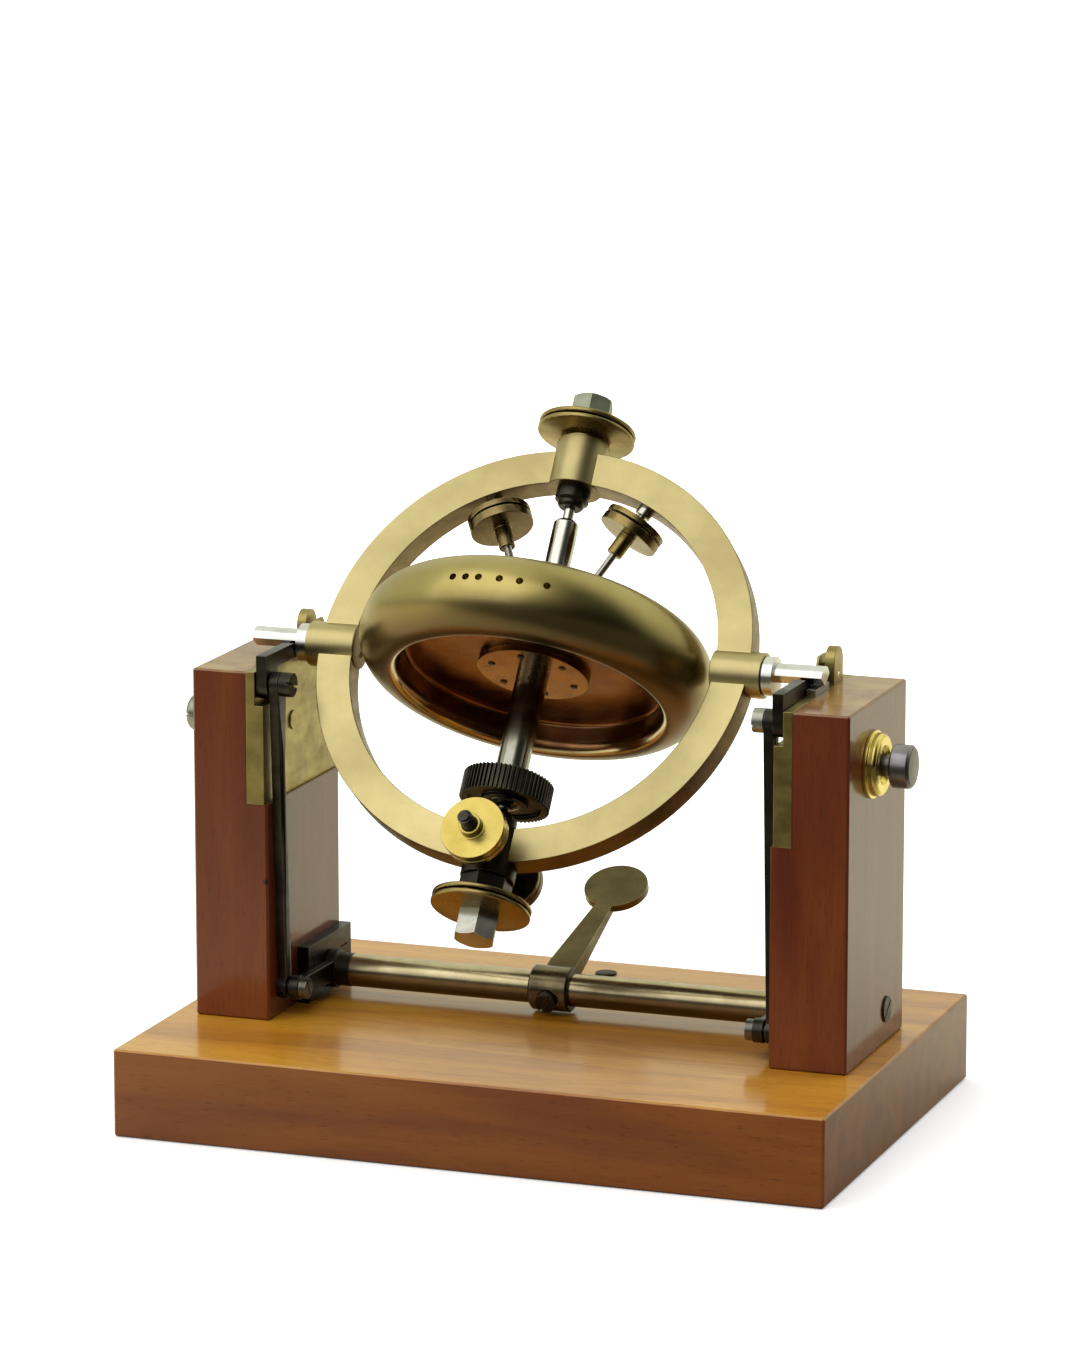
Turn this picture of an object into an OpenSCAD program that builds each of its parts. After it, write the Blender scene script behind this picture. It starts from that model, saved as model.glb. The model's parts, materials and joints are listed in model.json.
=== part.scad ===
// Demonstration gyroscope: a heavy rotor in a leaning brass ring, whose trunnions rest on two
// wooden pillars, with a hand paddle and cross shaft that lift both trunnions off their beds.
// Millimetres. X runs left to right, Y to the back, Z up. The origin is the middle of the
// underside of the base board.

/* [Base board] */
// Width of the base board, left to right
base_w = 300; // [286:1:340]
// Depth of the base board, front to back
base_d = 202; // [180:1:240]
// Thickness of the base board
base_h = 36.5; // [30:0.5:44]
// Small bevel on the edges of the woodwork
edge_ease = 0.8; // [0.4:0.1:1.5]

/* [Pillars] */
// Clear distance between the two pillars
pillar_gap = 214.8; // [213:0.2:222]
// Thickness of each pillar, left to right
pillar_t = 32.4; // [30:0.2:36]
// Depth of each pillar, front to back
pillar_d = 78.6; // [76:0.2:90]
// Height of each pillar above the base board
pillar_h = 145.7; // [142:0.1:152]

/* [Bearing plates] */
// Thickness of the brass plate let into each pillar
plate_t = 7.8; // [7.4:0.1:10]
// How far the plate lies behind the inner face of its pillar
plate_sink = 1.2; // [0.8:0.1:1.3]
// Height of the brass plate
plate_h = 55; // [46:1:66]
// Height of the steel bed above the pillar top
bed_h = 3; // [2.6:0.1:3.6]
// Length of the steel bed, front to back
bed_l = 18; // [14:1:22]

/* [Ring] */
// Inner radius of the ring
ring_ri = 77.4; // [77:0.1:78]
// Radial width of the ring
ring_w = 14.6; // [12:0.2:15]
// Thickness of the ring along its own axis
ring_t = 12.3; // [11:0.1:13.5]
// How far the ring sits to the right of the middle (negative is left)
ring_shift = -5; // [-5:0.5:5]
// Backward lean of the ring, in degrees
lean = 36.2; // [0:0.1:60]
// Radius of the two trunnion bosses on the ring
boss_r = 9.35; // [8.6:0.05:9.6]
// Radius of the top and bottom bosses on the ring
end_boss_r = 8.6; // [8:0.1:9.4]
// Length of each boss outside the ring
boss_out = 5.7; // [5:0.1:5.8]
// Length of each boss inside the ring
boss_in = 0.9; // [0.6:0.1:1.2]

/* [Trunnions] */
// Radius of the trunnion journal that turns in the ring
journal_r = 4.5; // [4:0.1:5]
// Radius of the trunnion collar
collar_r = 8.1; // [7.4:0.1:8.8]
// Length of the trunnion collar
collar_l = 4.2; // [3.4:0.1:4.2]
// Radius of the half-round trunnion bar
bar_r = 5.7; // [5.2:0.1:6.2]
// Length of the half-round trunnion bar
bar_l = 20.3; // [19.5:0.1:22]
// Height of the top of the knife edge above the trunnion axis
bar_flat = 1.7; // [1:0.1:2.4]
// Depth of the knife edge below the trunnion axis
knife_drop = 2.3; // [1.8:0.1:2.6]

/* [Rotor] */
// Outer radius of the rotor
rotor_r = 73; // [70:0.5:74]
// Radius of the opening inside the rim
rim_ri = 54; // [51:0.5:56]
// Half of the thickness of the rim
rim_h = 17; // [12:0.5:20]
// Width of the rounded outer part of the rim
rim_round = 15; // [11:0.5:16]
// Half of the thickness of the web
web_h = 4; // [3:0.5:6]
// Radius of the hub flanges
flange_r = 23; // [20:0.5:30]
// Thickness of the hub flanges
flange_t = 3; // [2:0.5:4]
// Number of screws in each hub flange
flange_screws = 6; // [4:1:8]
// Radius of the balancing holes in the rim
dot_r = 1.5; // [1:0.1:2]

/* [Axle and gear] */
// Radius of the upper part of the axle
axle_top_r = 5.35; // [4.5:0.05:6]
// Radius of the lower part of the axle
axle_low_r = 6.6; // [6:0.1:7.2]
// Radius of the two pivots of the axle
pivot_r = 2.25; // [1.8:0.05:2.6]
// Distance from the rotor's middle to the shoulder of each pivot
shoulder_v = 62.4; // [60:0.2:64]
// Number of teeth on the driving gear
gear_teeth = 60; // [40:2:72]
// Outer radius of the driving gear
gear_r = 18.5; // [16:0.5:19]
// Width of the driving gear
gear_w = 10.5; // [8:0.5:11]
// Distance from the rotor's middle to the top of the gear
gear_v = 54; // [46:0.2:54.4]

/* [Pivot screws] */
// Radius of the nose of the bearing bushes
nose_r = 7; // [6.4:0.1:7.4]
// Length of the nose of the bearing bushes
nose_l = 8; // [7:0.1:9]
// Radius of the bush inside the ring's boss
spigot_r = 5.4; // [5:0.1:5.8]
// Radius of the shank of the pivot screws
screw_r = 3; // [2.8:0.1:3.6]
// Radius of the round lock discs
disc_r = 20.3; // [16:0.1:22]
// Thickness of the rims of the lock discs
disc_rim = 2; // [1.4:0.1:2.4]
// Thickness of the lock disc beside the ring
disc_t = 4; // [3:0.1:5]
// Thickness of the outer lock nut
nut_t = 3.2; // [2.4:0.1:4]
// Groove between the lock disc and its nut
disc_gap = 0.8; // [0.5:0.1:1.2]
// Width across the flats of the hexagon heads
hex_af = 15.6; // [13:0.1:17]
// Length of the hexagon heads
hex_l = 11.3; // [9:0.1:12]
// Length of the hub under the upper lock disc
upper_hub_l = 1.3; // [1:0.1:3]
// Length of the jam nut under the lower boss
jam_l = 7; // [5:0.1:8]

/* [Balance weights] */
// Radius of the balance discs
weight_r = 13.2; // [11:0.1:14]
// Thickness of the balance disc
weight_t = 3.8; // [3:0.1:4.5]
// Thickness of its lock nut
locknut_t = 2.5; // [2:0.1:3]
// Angle of the two upper rods from the axle, in degrees
rod_angle = 25.2; // [24:0.2:30]
// Radius of the two upper rods
rod_r = 1.75; // [1.5:0.05:2]
// Distance of the inner end of the upper rods from the rotor's middle
rod_end = 32; // [30:1:40]
// Distance of the upper balance discs from the rotor's middle
weight_at = 63.4; // [61:0.2:64]
// Radius of the front and rear rods
stud_r = 3; // [2.6:0.1:3.4]
// Distance of the tips of the front and rear rods from the ring's middle plane
stud_end = 40; // [39:0.5:44]
// Distance of the front and rear balance discs from the ring's middle plane
stud_weight_at = 24.8; // [24:0.2:26]

/* [Lifting gear] */
// Radius of the cross shaft
shaft_r = 6.85; // [6:0.05:7.5]
// Distance of the cross shaft behind the pillars' middle
shaft_y = 15.5; // [12:0.5:20]
// Height of the cross shaft above the base board
shaft_rise = 9.8; // [9.6:0.1:12]
// Horizontal reach of the cranks towards the front
crank_reach = 42.5; // [38:0.5:44]
// Height of the crank pins above the shaft axis
crank_rise = 2.2; // [0:0.1:4]
// Radius of the crank pins and lever screws
pin_r = 2.5; // [2:0.1:2.8]
// Thickness of the links, left to right
link_t = 3.7; // [3:0.1:3.7]
// Depth of the lever's screw in front of the pillars' middle
lever_pin_y = 32; // [30:0.2:33]
// Depth of the lever's screw below the pillar top
lever_pin_drop = 5.7; // [5:0.1:7]
// Thickness of the lifting levers, left to right
lever_t = 4.5; // [4:0.1:4.5]
// Height of the lifting levers
lever_h = 6.4; // [6:0.1:7]
// Distance of the lever's hinge pin behind the pillars' middle
hinge_y = 22; // [20:0.5:26]
// Length of the paddle from the shaft axis to the middle of its disc
paddle_l = 66; // [60:0.5:72]
// Upward slope of the paddle, in degrees
paddle_slope = 26; // [20:0.5:30]
// Sideways slant of the paddle, in degrees
paddle_slant = 6; // [0:0.5:10]
// Radius of the paddle's disc
paddle_r = 13.5; // [11:0.5:15]
// Radius of the collar that holds the paddle
hub_out_r = 9.3; // [8.6:0.1:9.3]
// Width of that collar, left to right
hub_w = 17; // [14:0.5:20]

/* [Plate bolts] */
// Radius of the bolts that hold the brass plates
clamp_r = 3.8; // [3:0.1:4.2]
// Radius of the domed head of the left bolt
dome_r = 7.4; // [6:0.1:9]
// Length of the domed head of the left bolt
dome_l = 15; // [10:0.5:17]
// Radius of the knob of the right bolt
knob_r = 8.8; // [8:0.1:11]
// Length of the knob of the right bolt
knob_l = 8.8; // [7:0.1:12]
// Radius of the ferrule's flange
ferrule_r = 13.8; // [12.6:0.1:15]
// Thickness of the ferrule's flange
ferrule_t = 1.6; // [1.2:0.1:2.4]
// Radius of the rounded ring on the ferrule
bead_r = 2; // [1.4:0.1:2.2]
// Length of the ferrule's inner boss
ferrule_boss = 3.4; // [2.8:0.1:3.8]
// Length of the knob's neck, from the wood
neck_l = 8.9; // [7:0.1:10]

/* [Fits] */
// Radial running clearance of shafts and pivots
run_fit = 0.05; // [0.03:0.01:0.08]
// Gap between pieces that pass each other
gap = 0.3; // [0.25:0.05:0.4]

/* [Hidden] */
$fn = 64;
eps = 0.01;
base_top = base_h;
pillar_top = base_h + pillar_h;
bed_top = pillar_top + bed_h;
axis_z = bed_top + knife_drop;
ring_ro = ring_ri + ring_w;
ring_ease = 0.6;
boss_end = ring_ro + boss_out;
boss_start = ring_ri - boss_in;
face_x = pillar_gap / 2;
outer_x = face_x + pillar_t;
plate_x = face_x + plate_sink;
wood_x = plate_x + plate_t;
front_y = -pillar_d / 2;

// The rotor's pivots end a little short of the screws inside the bushes
bush_start = boss_start - nose_l;
pivot_depth = 5;
screw_start = bush_start + pivot_depth;
pivot_end = screw_start - gap;
upper_disc_v = boss_end + upper_hub_l;
lower_disc_v = boss_end + jam_l;
hub_r = 8.8;
hex_turn = 12;
jam_r = 0.7 * hex_af;
stud_v = (boss_start + boss_end) / 2;
rod_sunk = 4;
rod_nut = [3.4, 1.4];
rod_nut_r = 2 * rod_r;
weight_hub_r = 3.4;
weight_hub_l = 9.4;
stud_hub_r = 4.6;
stud_hub_l = 4;
dot_angles = [-11.5, -7, -2.6, 4.3, 10.8, 19.5];
dot_depth = 5;
dot_v = 1.5;
flange_circle = 0.76 * flange_r;

// Half of the width of the very edge of the knife
knife_flat = 0.2;

// The lever lies beside the bed, and the link and crank lie in front of the brass plate
lever_x = face_x + 0.2;
lever_z = pillar_top + gap;
lever_top = lever_z + lever_h;
notch_z = bed_top - gap;
notch_slope = 25;
bed_x = lever_x + lever_t + gap;
lever_pin_z = pillar_top - lever_pin_drop;
hinge_z = lever_z + lever_h / 2;
hinge_r = 1.5;
tongue_r = 3;
tongue_t = 2;
slot_t = tongue_t + gap;
slot_x = lever_x + lever_t - slot_t + 0.1;
clevis_l = 12;
cheek_h = [7, 9];
ear_r = 6.2;
link_x = face_x - gap - link_t;
link_eye_r = 5;
open_fit = 0.35;
head_r = 5;
head_l = 4.7;
pin_head_r = 4.4;
pin_head_l = 3.2;
shaft_z = base_top + shaft_rise;
crank_t = 4.2;
crank_space = gap + 1;
crank_x = link_x - crank_space - crank_t;
crank_pin_y = shaft_y - crank_reach;
crank_pin_z = shaft_z + crank_rise;
crank_hub_r = 8;
crank_boss_r = 7;
crank_boss_l = 6.2;
shaft_end_r = 4;
shaft_half = crank_x - crank_boss_l;
bracket_t = face_x - crank_x - crank_t - gap;
bracket_h = 24;
bracket_front = 8;
bracket_screws = [-bracket_front + 6, pillar_d / 2 - 8];
bracket_screw_rise = 16;
crank_root = 4.6;
crank_tip = 3.4;
hub_x = -3;
hub_screw_r = 4.4;
hub_shank_r = 2.2;
hub_screw_seat = 8;
hub_screw_top = 12;
hub_screw_dip = 20;
paddle_t = 3.2;
bolt_y = -8.3;
bolt_z = pillar_top - 25.4;
bolt_r = 3;
pillar_screw_l = 22.6;
side_screw_l = 18;
stop_screw_l = 11;
stop_head_h = 1.4;
hole_spare = 1.4;
small_screw_r = 2;
small_head_r = 3.6;
small_head_h = 1.6;
stem_out = 0.8;
side_screw = [15.5, 13.9];
stop_screw = [-2.8, 80.3];
screw_head_r = 4.6;

wood_red = "#7a3a1c";
wood_gold = "#a8692c";
brass = "#c9b46c";
old_brass = "#8f7a3c";
steel = "#b9bcbc";
black_steel = "#2b2a29";

// Points of an elliptical arc about c, with radii rx and ry, from angle a0 to a1 in n steps
function arc(c, rx, ry, a0, a1, n) =
  [for (i = [0 : n]) let (a = a0 + (a1 - a0) * i / n) c + [rx * cos(a), ry * sin(a)]];

// A box from one corner to the other with its edges bevelled by e
module eased_box(a, b, e) {
  d = b - a;
  hull() {
    translate(a + [e, e, 0]) cube(d - [2 * e, 2 * e, 0]);
    translate(a + [e, 0, e]) cube(d - [2 * e, 0, 2 * e]);
    translate(a + [0, e, e]) cube(d - [0, 2 * e, 2 * e]);
  }
}

// A plain box from one corner to the other
module box(a, b) { translate(a) cube(b - a); }

// A round bar along X between x0 and x1 through the point y, z
module bar_x(x0, x1, y, z, r) {
  translate([x0, y, z]) rotate([0, 90, 0]) cylinder(h = x1 - x0, r = r);
}

// A flat plate in the YZ plane, from x0 to x1, drawn in 2D with X as Y and Y as Z
module plate_yz(x0, x1) {
  translate([x0, 0, 0]) rotate([90, 0, 90]) linear_extrude(x1 - x0) children();
}

// The left side is the mirror image of the right
module left() { mirror([1, 0, 0]) children(); }

// The ring's own frame: its trunnions on X, the rotor's axle on Z, its front on -Y
module in_ring() { translate([ring_shift, 0, axis_z]) rotate([-lean, 0, 0]) children(); }

// A revolved profile of [radius, distance] points about the ring frame's Z axis
module turned(points) { rotate_extrude() polygon(points); }

module base_board() {
  color(wood_gold) difference() {
    eased_box([-base_w / 2, -base_d / 2, 0], [base_w / 2, base_d / 2, base_h], edge_ease);
    for (s = [-1, 1]) for (y = [-1, 1])
      translate([s * (outer_x - pillar_t / 2), y * pillar_d / 4, 0]) {
        translate([0, 0, -eps]) cylinder(h = base_h + 2 * eps, r = bolt_r);
        translate([0, 0, -eps]) cylinder(h = screw_head_r + eps, r = screw_head_r);
      }
    translate([stop_screw[0], stop_screw[1], base_top - stop_screw_l - hole_spare])
      cylinder(h = stop_screw_l + hole_spare + eps, r = bolt_r);
  }
}

// A pillar has a rebate for its brass plate, a bore for the plate's bolt and a side screw hole
module pillar() {
  color(wood_red) difference() {
    eased_box([face_x, front_y, base_top], [outer_x, -front_y, pillar_top], edge_ease);
    box([face_x - 1, front_y - 1, pillar_top - plate_h], [wood_x, -front_y + 1, pillar_top + 1]);
    bar_x(wood_x - 1, outer_x + 1, bolt_y, bolt_z, clamp_r + run_fit);
    bar_x(outer_x - side_screw_l - hole_spare, outer_x + 1, side_screw[0],
          base_top + side_screw[1], bolt_r);
    for (y = [-1, 1]) translate([outer_x - pillar_t / 2, y * pillar_d / 4, base_top - eps])
      cylinder(h = pillar_screw_l + hole_spare, r = bolt_r);
  }
}
module left_pillar() { left() pillar(); }
module right_pillar() { pillar(); }

// The brass plate has a corner notch at the front for the ear of the lever
module bearing_plate() {
  notch = [lever_pin_y - ear_r - 1, ear_r + 2];
  color(old_brass) difference() {
    box([plate_x, front_y, pillar_top - plate_h], [wood_x, -front_y, pillar_top]);
    box([plate_x - 1, front_y - 1, lever_pin_z - notch[1]],
        [bed_x, -notch[0], pillar_top + 1]);
    bar_x(plate_x - 1, wood_x + 1, bolt_y, bolt_z, clamp_r + run_fit);
  }
}
module left_bearing_plate() { left() bearing_plate(); }
module right_bearing_plate() { bearing_plate(); }

// The hardened bed that carries the knife edge
module bed() {
  color(black_steel) box([bed_x, -bed_l / 2, pillar_top], [wood_x - eps, bed_l / 2, bed_top]);
}
module left_bed() { left() bed(); }
module right_bed() { bed(); }

// Two cheeks of different height, with the tongue of the lever between them
module clevis() {
  y0 = hinge_y - clevis_l / 2;
  y1 = hinge_y + clevis_l / 2;
  crown = 4.2;
  back = 2;
  color(old_brass) difference() {
    union() {
      plate_yz(plate_x, slot_x) union() {
        translate([y0, pillar_top]) square([clevis_l, cheek_h[0]]);
        intersection() {
          translate([hinge_y, pillar_top + cheek_h[0]]) circle(r = clevis_l / 2);
          translate([y0, pillar_top + cheek_h[0]]) square([clevis_l, crown]);
        }
      }
      plate_yz(slot_x + slot_t, wood_x - eps) union() {
        translate([y0, pillar_top]) square([clevis_l, cheek_h[1]]);
        translate([hinge_y, pillar_top + cheek_h[1]]) circle(r = clevis_l / 2);
      }
      box([slot_x - 1, y1 - back, pillar_top], [slot_x + slot_t + 1, y1, pillar_top + cheek_h[0]]);
    }
    bar_x(plate_x - 1, wood_x + 1, hinge_y, hinge_z, hinge_r);
  }
}
module left_clevis() { left() clevis(); }
module right_clevis() { clevis(); }

module clevis_pin() {
  bar_x(plate_x, wood_x - eps, hinge_y, hinge_z, hinge_r);
}
module clevis_pins() {
  color(steel) { clevis_pin(); left() clevis_pin(); }
}

// The bracket that carries the end of the cross shaft
module shaft_bracket() {
  color(old_brass) difference() {
    box([face_x - bracket_t, -bracket_front, base_top], [face_x, -front_y, base_top + bracket_h]);
    bar_x(face_x - bracket_t - 1, face_x + 1, shaft_y, shaft_z, shaft_end_r + run_fit);
    for (y = bracket_screws) {
      bar_x(face_x - bracket_t - 1, face_x + 1, y, base_top + bracket_screw_rise, small_screw_r);
      bar_x(face_x - bracket_t - 1, face_x - bracket_t + small_head_h, y,
            base_top + bracket_screw_rise, small_head_r);
    }
  }
}
module left_shaft_bracket() { left() shaft_bracket(); }
module right_shaft_bracket() { shaft_bracket(); }

// Wood screws of one side: two up from below, one in the outer face, two in the bracket
module side_screws() {
  sunk = 0.6;
  flat_head = [0.8, screw_head_r + 0.8];
  for (y = [-1, 1]) translate([outer_x - pillar_t / 2, y * pillar_d / 4, sunk]) {
    cylinder(h = base_top + pillar_screw_l - sunk, r = bolt_r);
    cylinder(h = screw_head_r - sunk, r = screw_head_r);
  }
  bar_x(outer_x - side_screw_l, outer_x, side_screw[0], base_top + side_screw[1], bolt_r);
  bar_x(outer_x, outer_x + flat_head[0], side_screw[0], base_top + side_screw[1], flat_head[1]);
  for (y = bracket_screws) {
    bar_x(face_x - bracket_t, face_x, y, base_top + bracket_screw_rise, small_screw_r);
    bar_x(face_x - bracket_t, face_x - bracket_t + small_head_h, y,
          base_top + bracket_screw_rise, small_head_r);
  }
}
module wood_screws() {
  color(black_steel) {
    side_screws();
    left() side_screws();
    translate([stop_screw[0], stop_screw[1], base_top]) {
      translate([0, 0, -stop_screw_l]) cylinder(h = stop_screw_l, r = bolt_r);
      cylinder(h = stop_head_h, r1 = screw_head_r, r2 = screw_head_r - 1.2);
    }
  }
}

// The bolt that holds the left plate: a long round head with a slotted dome
module left_plate_bolt() {
  dome = 0.4 * dome_r;
  start = outer_x + dome_l - dome;
  slot = [dome + 2, 1];
  color(steel) left() difference() {
    translate([0, bolt_y, bolt_z]) rotate([0, 90, 0])
      turned(concat([[0, plate_x - stem_out], [clamp_r, plate_x - stem_out], [clamp_r, outer_x],
                     [dome_r, outer_x]], arc([0, start], dome_r, dome, 0, 90, 8)));
    box([outer_x + dome_l - slot[0], bolt_y - 2 * dome_r, bolt_z - slot[1] / 2],
        [outer_x + dome_l + 1, bolt_y + 2 * dome_r, bolt_z + slot[1] / 2]);
  }
}

// The brass ferrule on the outer face of the right pillar: a flange and a rounded ring
module right_ferrule() {
  bore = clamp_r + run_fit;
  step = ferrule_r - 1.1;
  dish = [step - 2.35 * bead_r, step - 2.85 * bead_r];
  ring = arc([step - bead_r, ferrule_boss], bead_r, bead_r, 0, 90, 8);
  color(brass) translate([outer_x, bolt_y, bolt_z]) rotate([0, 90, 0])
    turned(concat([[bore, 0], [ferrule_r, 0], [ferrule_r, ferrule_t], [step, ferrule_t]], ring,
                  [[dish[0], ferrule_boss + bead_r], [dish[1], ferrule_boss],
                   [bore, ferrule_boss]]));
}

// The steel knob and its stem, which turn in the ferrule, the pillar and the plate
module clamp_knob() {
  neck = [outer_x + ferrule_boss + gap, outer_x + neck_l];
  neck_r = 1.2 * clamp_r;
  bevel = [0.7, 1.4, 0.4];
  end = neck[1] + knob_l;
  color(steel) translate([0, bolt_y, bolt_z]) rotate([0, 90, 0])
    turned([[0, plate_x - stem_out], [clamp_r, plate_x - stem_out], [clamp_r, neck[0]],
            [neck_r, neck[0]], [neck_r, neck[1]], [knob_r - bevel[0], neck[1]],
            [knob_r, neck[1] + bevel[0]], [knob_r, end - bevel[1]], [knob_r - 1, end - bevel[2]],
            [0, end]]);
}

// The shaft has a smaller journal at each end for the crank and the bracket
module cross_shaft() {
  color(old_brass) union() {
    bar_x(-shaft_half, shaft_half, shaft_y, shaft_z, shaft_r);
    bar_x(-face_x + gap, face_x - gap, shaft_y, shaft_z, shaft_end_r);
  }
}

module crank() {
  color(black_steel) difference() {
    union() {
      plate_yz(crank_x, crank_x + crank_t) union() {
        translate([shaft_y, shaft_z]) circle(r = crank_hub_r);
        translate([crank_pin_y, crank_pin_z]) circle(r = link_eye_r);
        polygon([[shaft_y, shaft_z + crank_root], [shaft_y, shaft_z - crank_root],
                 [crank_pin_y, crank_pin_z - crank_tip], [crank_pin_y, crank_pin_z + crank_tip]]);
      }
      bar_x(shaft_half, crank_x + eps, shaft_y, shaft_z, crank_boss_r);
    }
    bar_x(shaft_half - 1, crank_x + crank_t + 1, shaft_y, shaft_z, shaft_end_r);
    bar_x(crank_x - 1, crank_x + crank_t + 1, crank_pin_y, crank_pin_z, pin_r);
  }
}
module left_crank() { left() crank(); }
module right_crank() { crank(); }

module crank_pin() {
  bar_x(crank_x, link_x + link_t, crank_pin_y, crank_pin_z, pin_r);
  bar_x(crank_x - pin_head_l, crank_x, crank_pin_y, crank_pin_z, pin_head_r);
}
module crank_pins() {
  color(steel) { crank_pin(); left() crank_pin(); }
}

// The collar that holds the paddle on the shaft, with a sunk seat for its screw in front
module at_hub_screw() {
  translate([hub_x, shaft_y, shaft_z]) rotate([90 + hub_screw_dip, 0, 0]) children();
}
module shaft_hub() {
  e = edge_ease;
  half = hub_w / 2;
  color(old_brass) difference() {
    translate([hub_x, shaft_y, shaft_z]) rotate([0, 90, 0])
      turned([[shaft_r, -half], [hub_out_r - e, -half], [hub_out_r, e - half], [hub_out_r, half - e],
              [hub_out_r - e, half], [shaft_r, half]]);
    at_hub_screw() {
      translate([0, 0, hub_screw_seat]) cylinder(h = hub_out_r, r = hub_screw_r + gap);
      cylinder(h = hub_out_r, r = hub_shank_r);
    }
  }
}
module hub_screw() {
  color(black_steel) at_hub_screw() {
    translate([0, 0, shaft_r]) cylinder(h = hub_screw_seat - shaft_r + eps, r = hub_shank_r);
    translate([0, 0, hub_screw_seat]) cylinder(h = hub_screw_top - hub_screw_seat, r = hub_screw_r);
  }
}

// The tapered arm, seated on the collar, and the round finger disc
module paddle_lever() {
  root = [6.2, 2.4, 4.4];
  tip = [3.6, 1, 2];
  root_y = shaft_r + 1;
  tip_y = paddle_l - paddle_r;
  color(old_brass) translate([hub_x, shaft_y, shaft_z]) rotate([paddle_slope, 0, 0])
    rotate([0, 0, -paddle_slant]) {
      difference() {
        hull() {
          box([-root[0], root_y, -root[1]], [root[0], root_y + 5, root[2]]);
          box([-tip[0], tip_y, -tip[1]], [tip[0], tip_y + 4, tip[2]]);
        }
        rotate([0, 0, paddle_slant]) bar_x(-hub_w, hub_w, 0, 0, hub_out_r);
      }
      translate([0, paddle_l, -tip[1]]) cylinder(h = paddle_t, r = paddle_r);
    }
}

// A flat link with an eye at each end: wider at the top, and loose on the lever's screw
module link() {
  shoulder = link_eye_r - 0.3;
  waist_drop = 34;
  waist_z = lever_pin_z - waist_drop;
  waist = link_eye_r - 2;
  color(black_steel) difference() {
    plate_yz(link_x, link_x + link_t) union() {
      translate([-lever_pin_y, lever_pin_z]) circle(r = link_eye_r);
      translate([crank_pin_y, crank_pin_z]) circle(r = link_eye_r);
      polygon([[-lever_pin_y - shoulder, lever_pin_z], [-lever_pin_y + shoulder, lever_pin_z],
               [-lever_pin_y + waist, waist_z], [crank_pin_y + waist, crank_pin_z],
               [crank_pin_y - waist, crank_pin_z], [-lever_pin_y - waist, waist_z]]);
    }
    bar_x(link_x - 1, link_x + link_t + 1, -lever_pin_y, lever_pin_z, pin_r + open_fit);
    bar_x(link_x - 1, link_x + link_t + 1, crank_pin_y, crank_pin_z, pin_r + run_fit);
  }
}
module left_link() { left() link(); }
module right_link() { link(); }

// The lever runs back beside the bed: an ear in front, a V notch that lifts the knife edge,
// and a thin round-ended tongue behind
module lift_lever() {
  foot = knife_flat + gap;
  run = (lever_top - notch_z) / tan(notch_slope);
  tongue_x = slot_x + gap / 2;
  body_end = hinge_y - clevis_l / 2 - 5 * gap;
  color(black_steel) difference() {
    union() {
      plate_yz(lever_x, lever_x + lever_t) union() {
        difference() {
          translate([-lever_pin_y - ear_r, lever_z])
            square([lever_pin_y + ear_r + body_end, lever_h]);
          polygon([[-foot, notch_z], [foot, notch_z], [foot + run, lever_top + eps],
                   [-foot - run, lever_top + eps]]);
        }
        translate([-lever_pin_y, lever_pin_z]) circle(r = ear_r);
        translate([-lever_pin_y - ear_r, lever_pin_z]) square([2 * ear_r, lever_z - lever_pin_z + 1]);
      }
      plate_yz(tongue_x, tongue_x + tongue_t) union() {
        translate([body_end - 1, hinge_z - tongue_r])
          square([hinge_y - body_end + 1, 2 * tongue_r]);
        translate([hinge_y, hinge_z]) circle(r = tongue_r);
      }
    }
    bar_x(lever_x - 1, lever_x + lever_t + 1, hinge_y, hinge_z, hinge_r + run_fit);
    bar_x(lever_x - 1, lever_x + lever_t + 1, -lever_pin_y, lever_pin_z, pin_r);
  }
}
module left_lift_lever() { left() lift_lever(); }
module right_lift_lever() { lift_lever(); }

// The shoulder screw that joins the lever to the link
module lever_screw() {
  color(steel) {
    bar_x(link_x - gap, lever_x + lever_t, -lever_pin_y, lever_pin_z, pin_r);
    bar_x(link_x - gap - head_l, link_x - gap, -lever_pin_y, lever_pin_z, head_r);
  }
}
module left_lever_screw() { left() lever_screw(); }
module right_lever_screw() { lever_screw(); }

// A journal inside the ring's boss, a collar, and a bar with a round back and a knife edge
module trunnion() {
  collar_x = boss_end + gap;
  bar_x0 = collar_x + collar_l;
  half = sqrt(bar_r * bar_r - bar_flat * bar_flat);
  journal_sunk = 12;
  color(steel) {
    bar_x(ring_ro - journal_sunk, collar_x + eps, 0, 0, journal_r);
    bar_x(collar_x, bar_x0, 0, 0, collar_r);
    plate_yz(bar_x0 - eps, bar_x0 + bar_l) {
      intersection() {
        circle(r = bar_r);
        translate([-bar_r, bar_flat]) square([2 * bar_r, bar_r]);
      }
      polygon([[-half, bar_flat + eps], [half, bar_flat + eps],
               [knife_flat, -knife_drop], [-knife_flat, -knife_drop]]);
    }
  }
}
module right_trunnion() { translate([ring_shift, 0, axis_z]) trunnion(); }
module left_trunnion() { translate([ring_shift, 0, axis_z]) left() trunnion(); }

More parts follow.
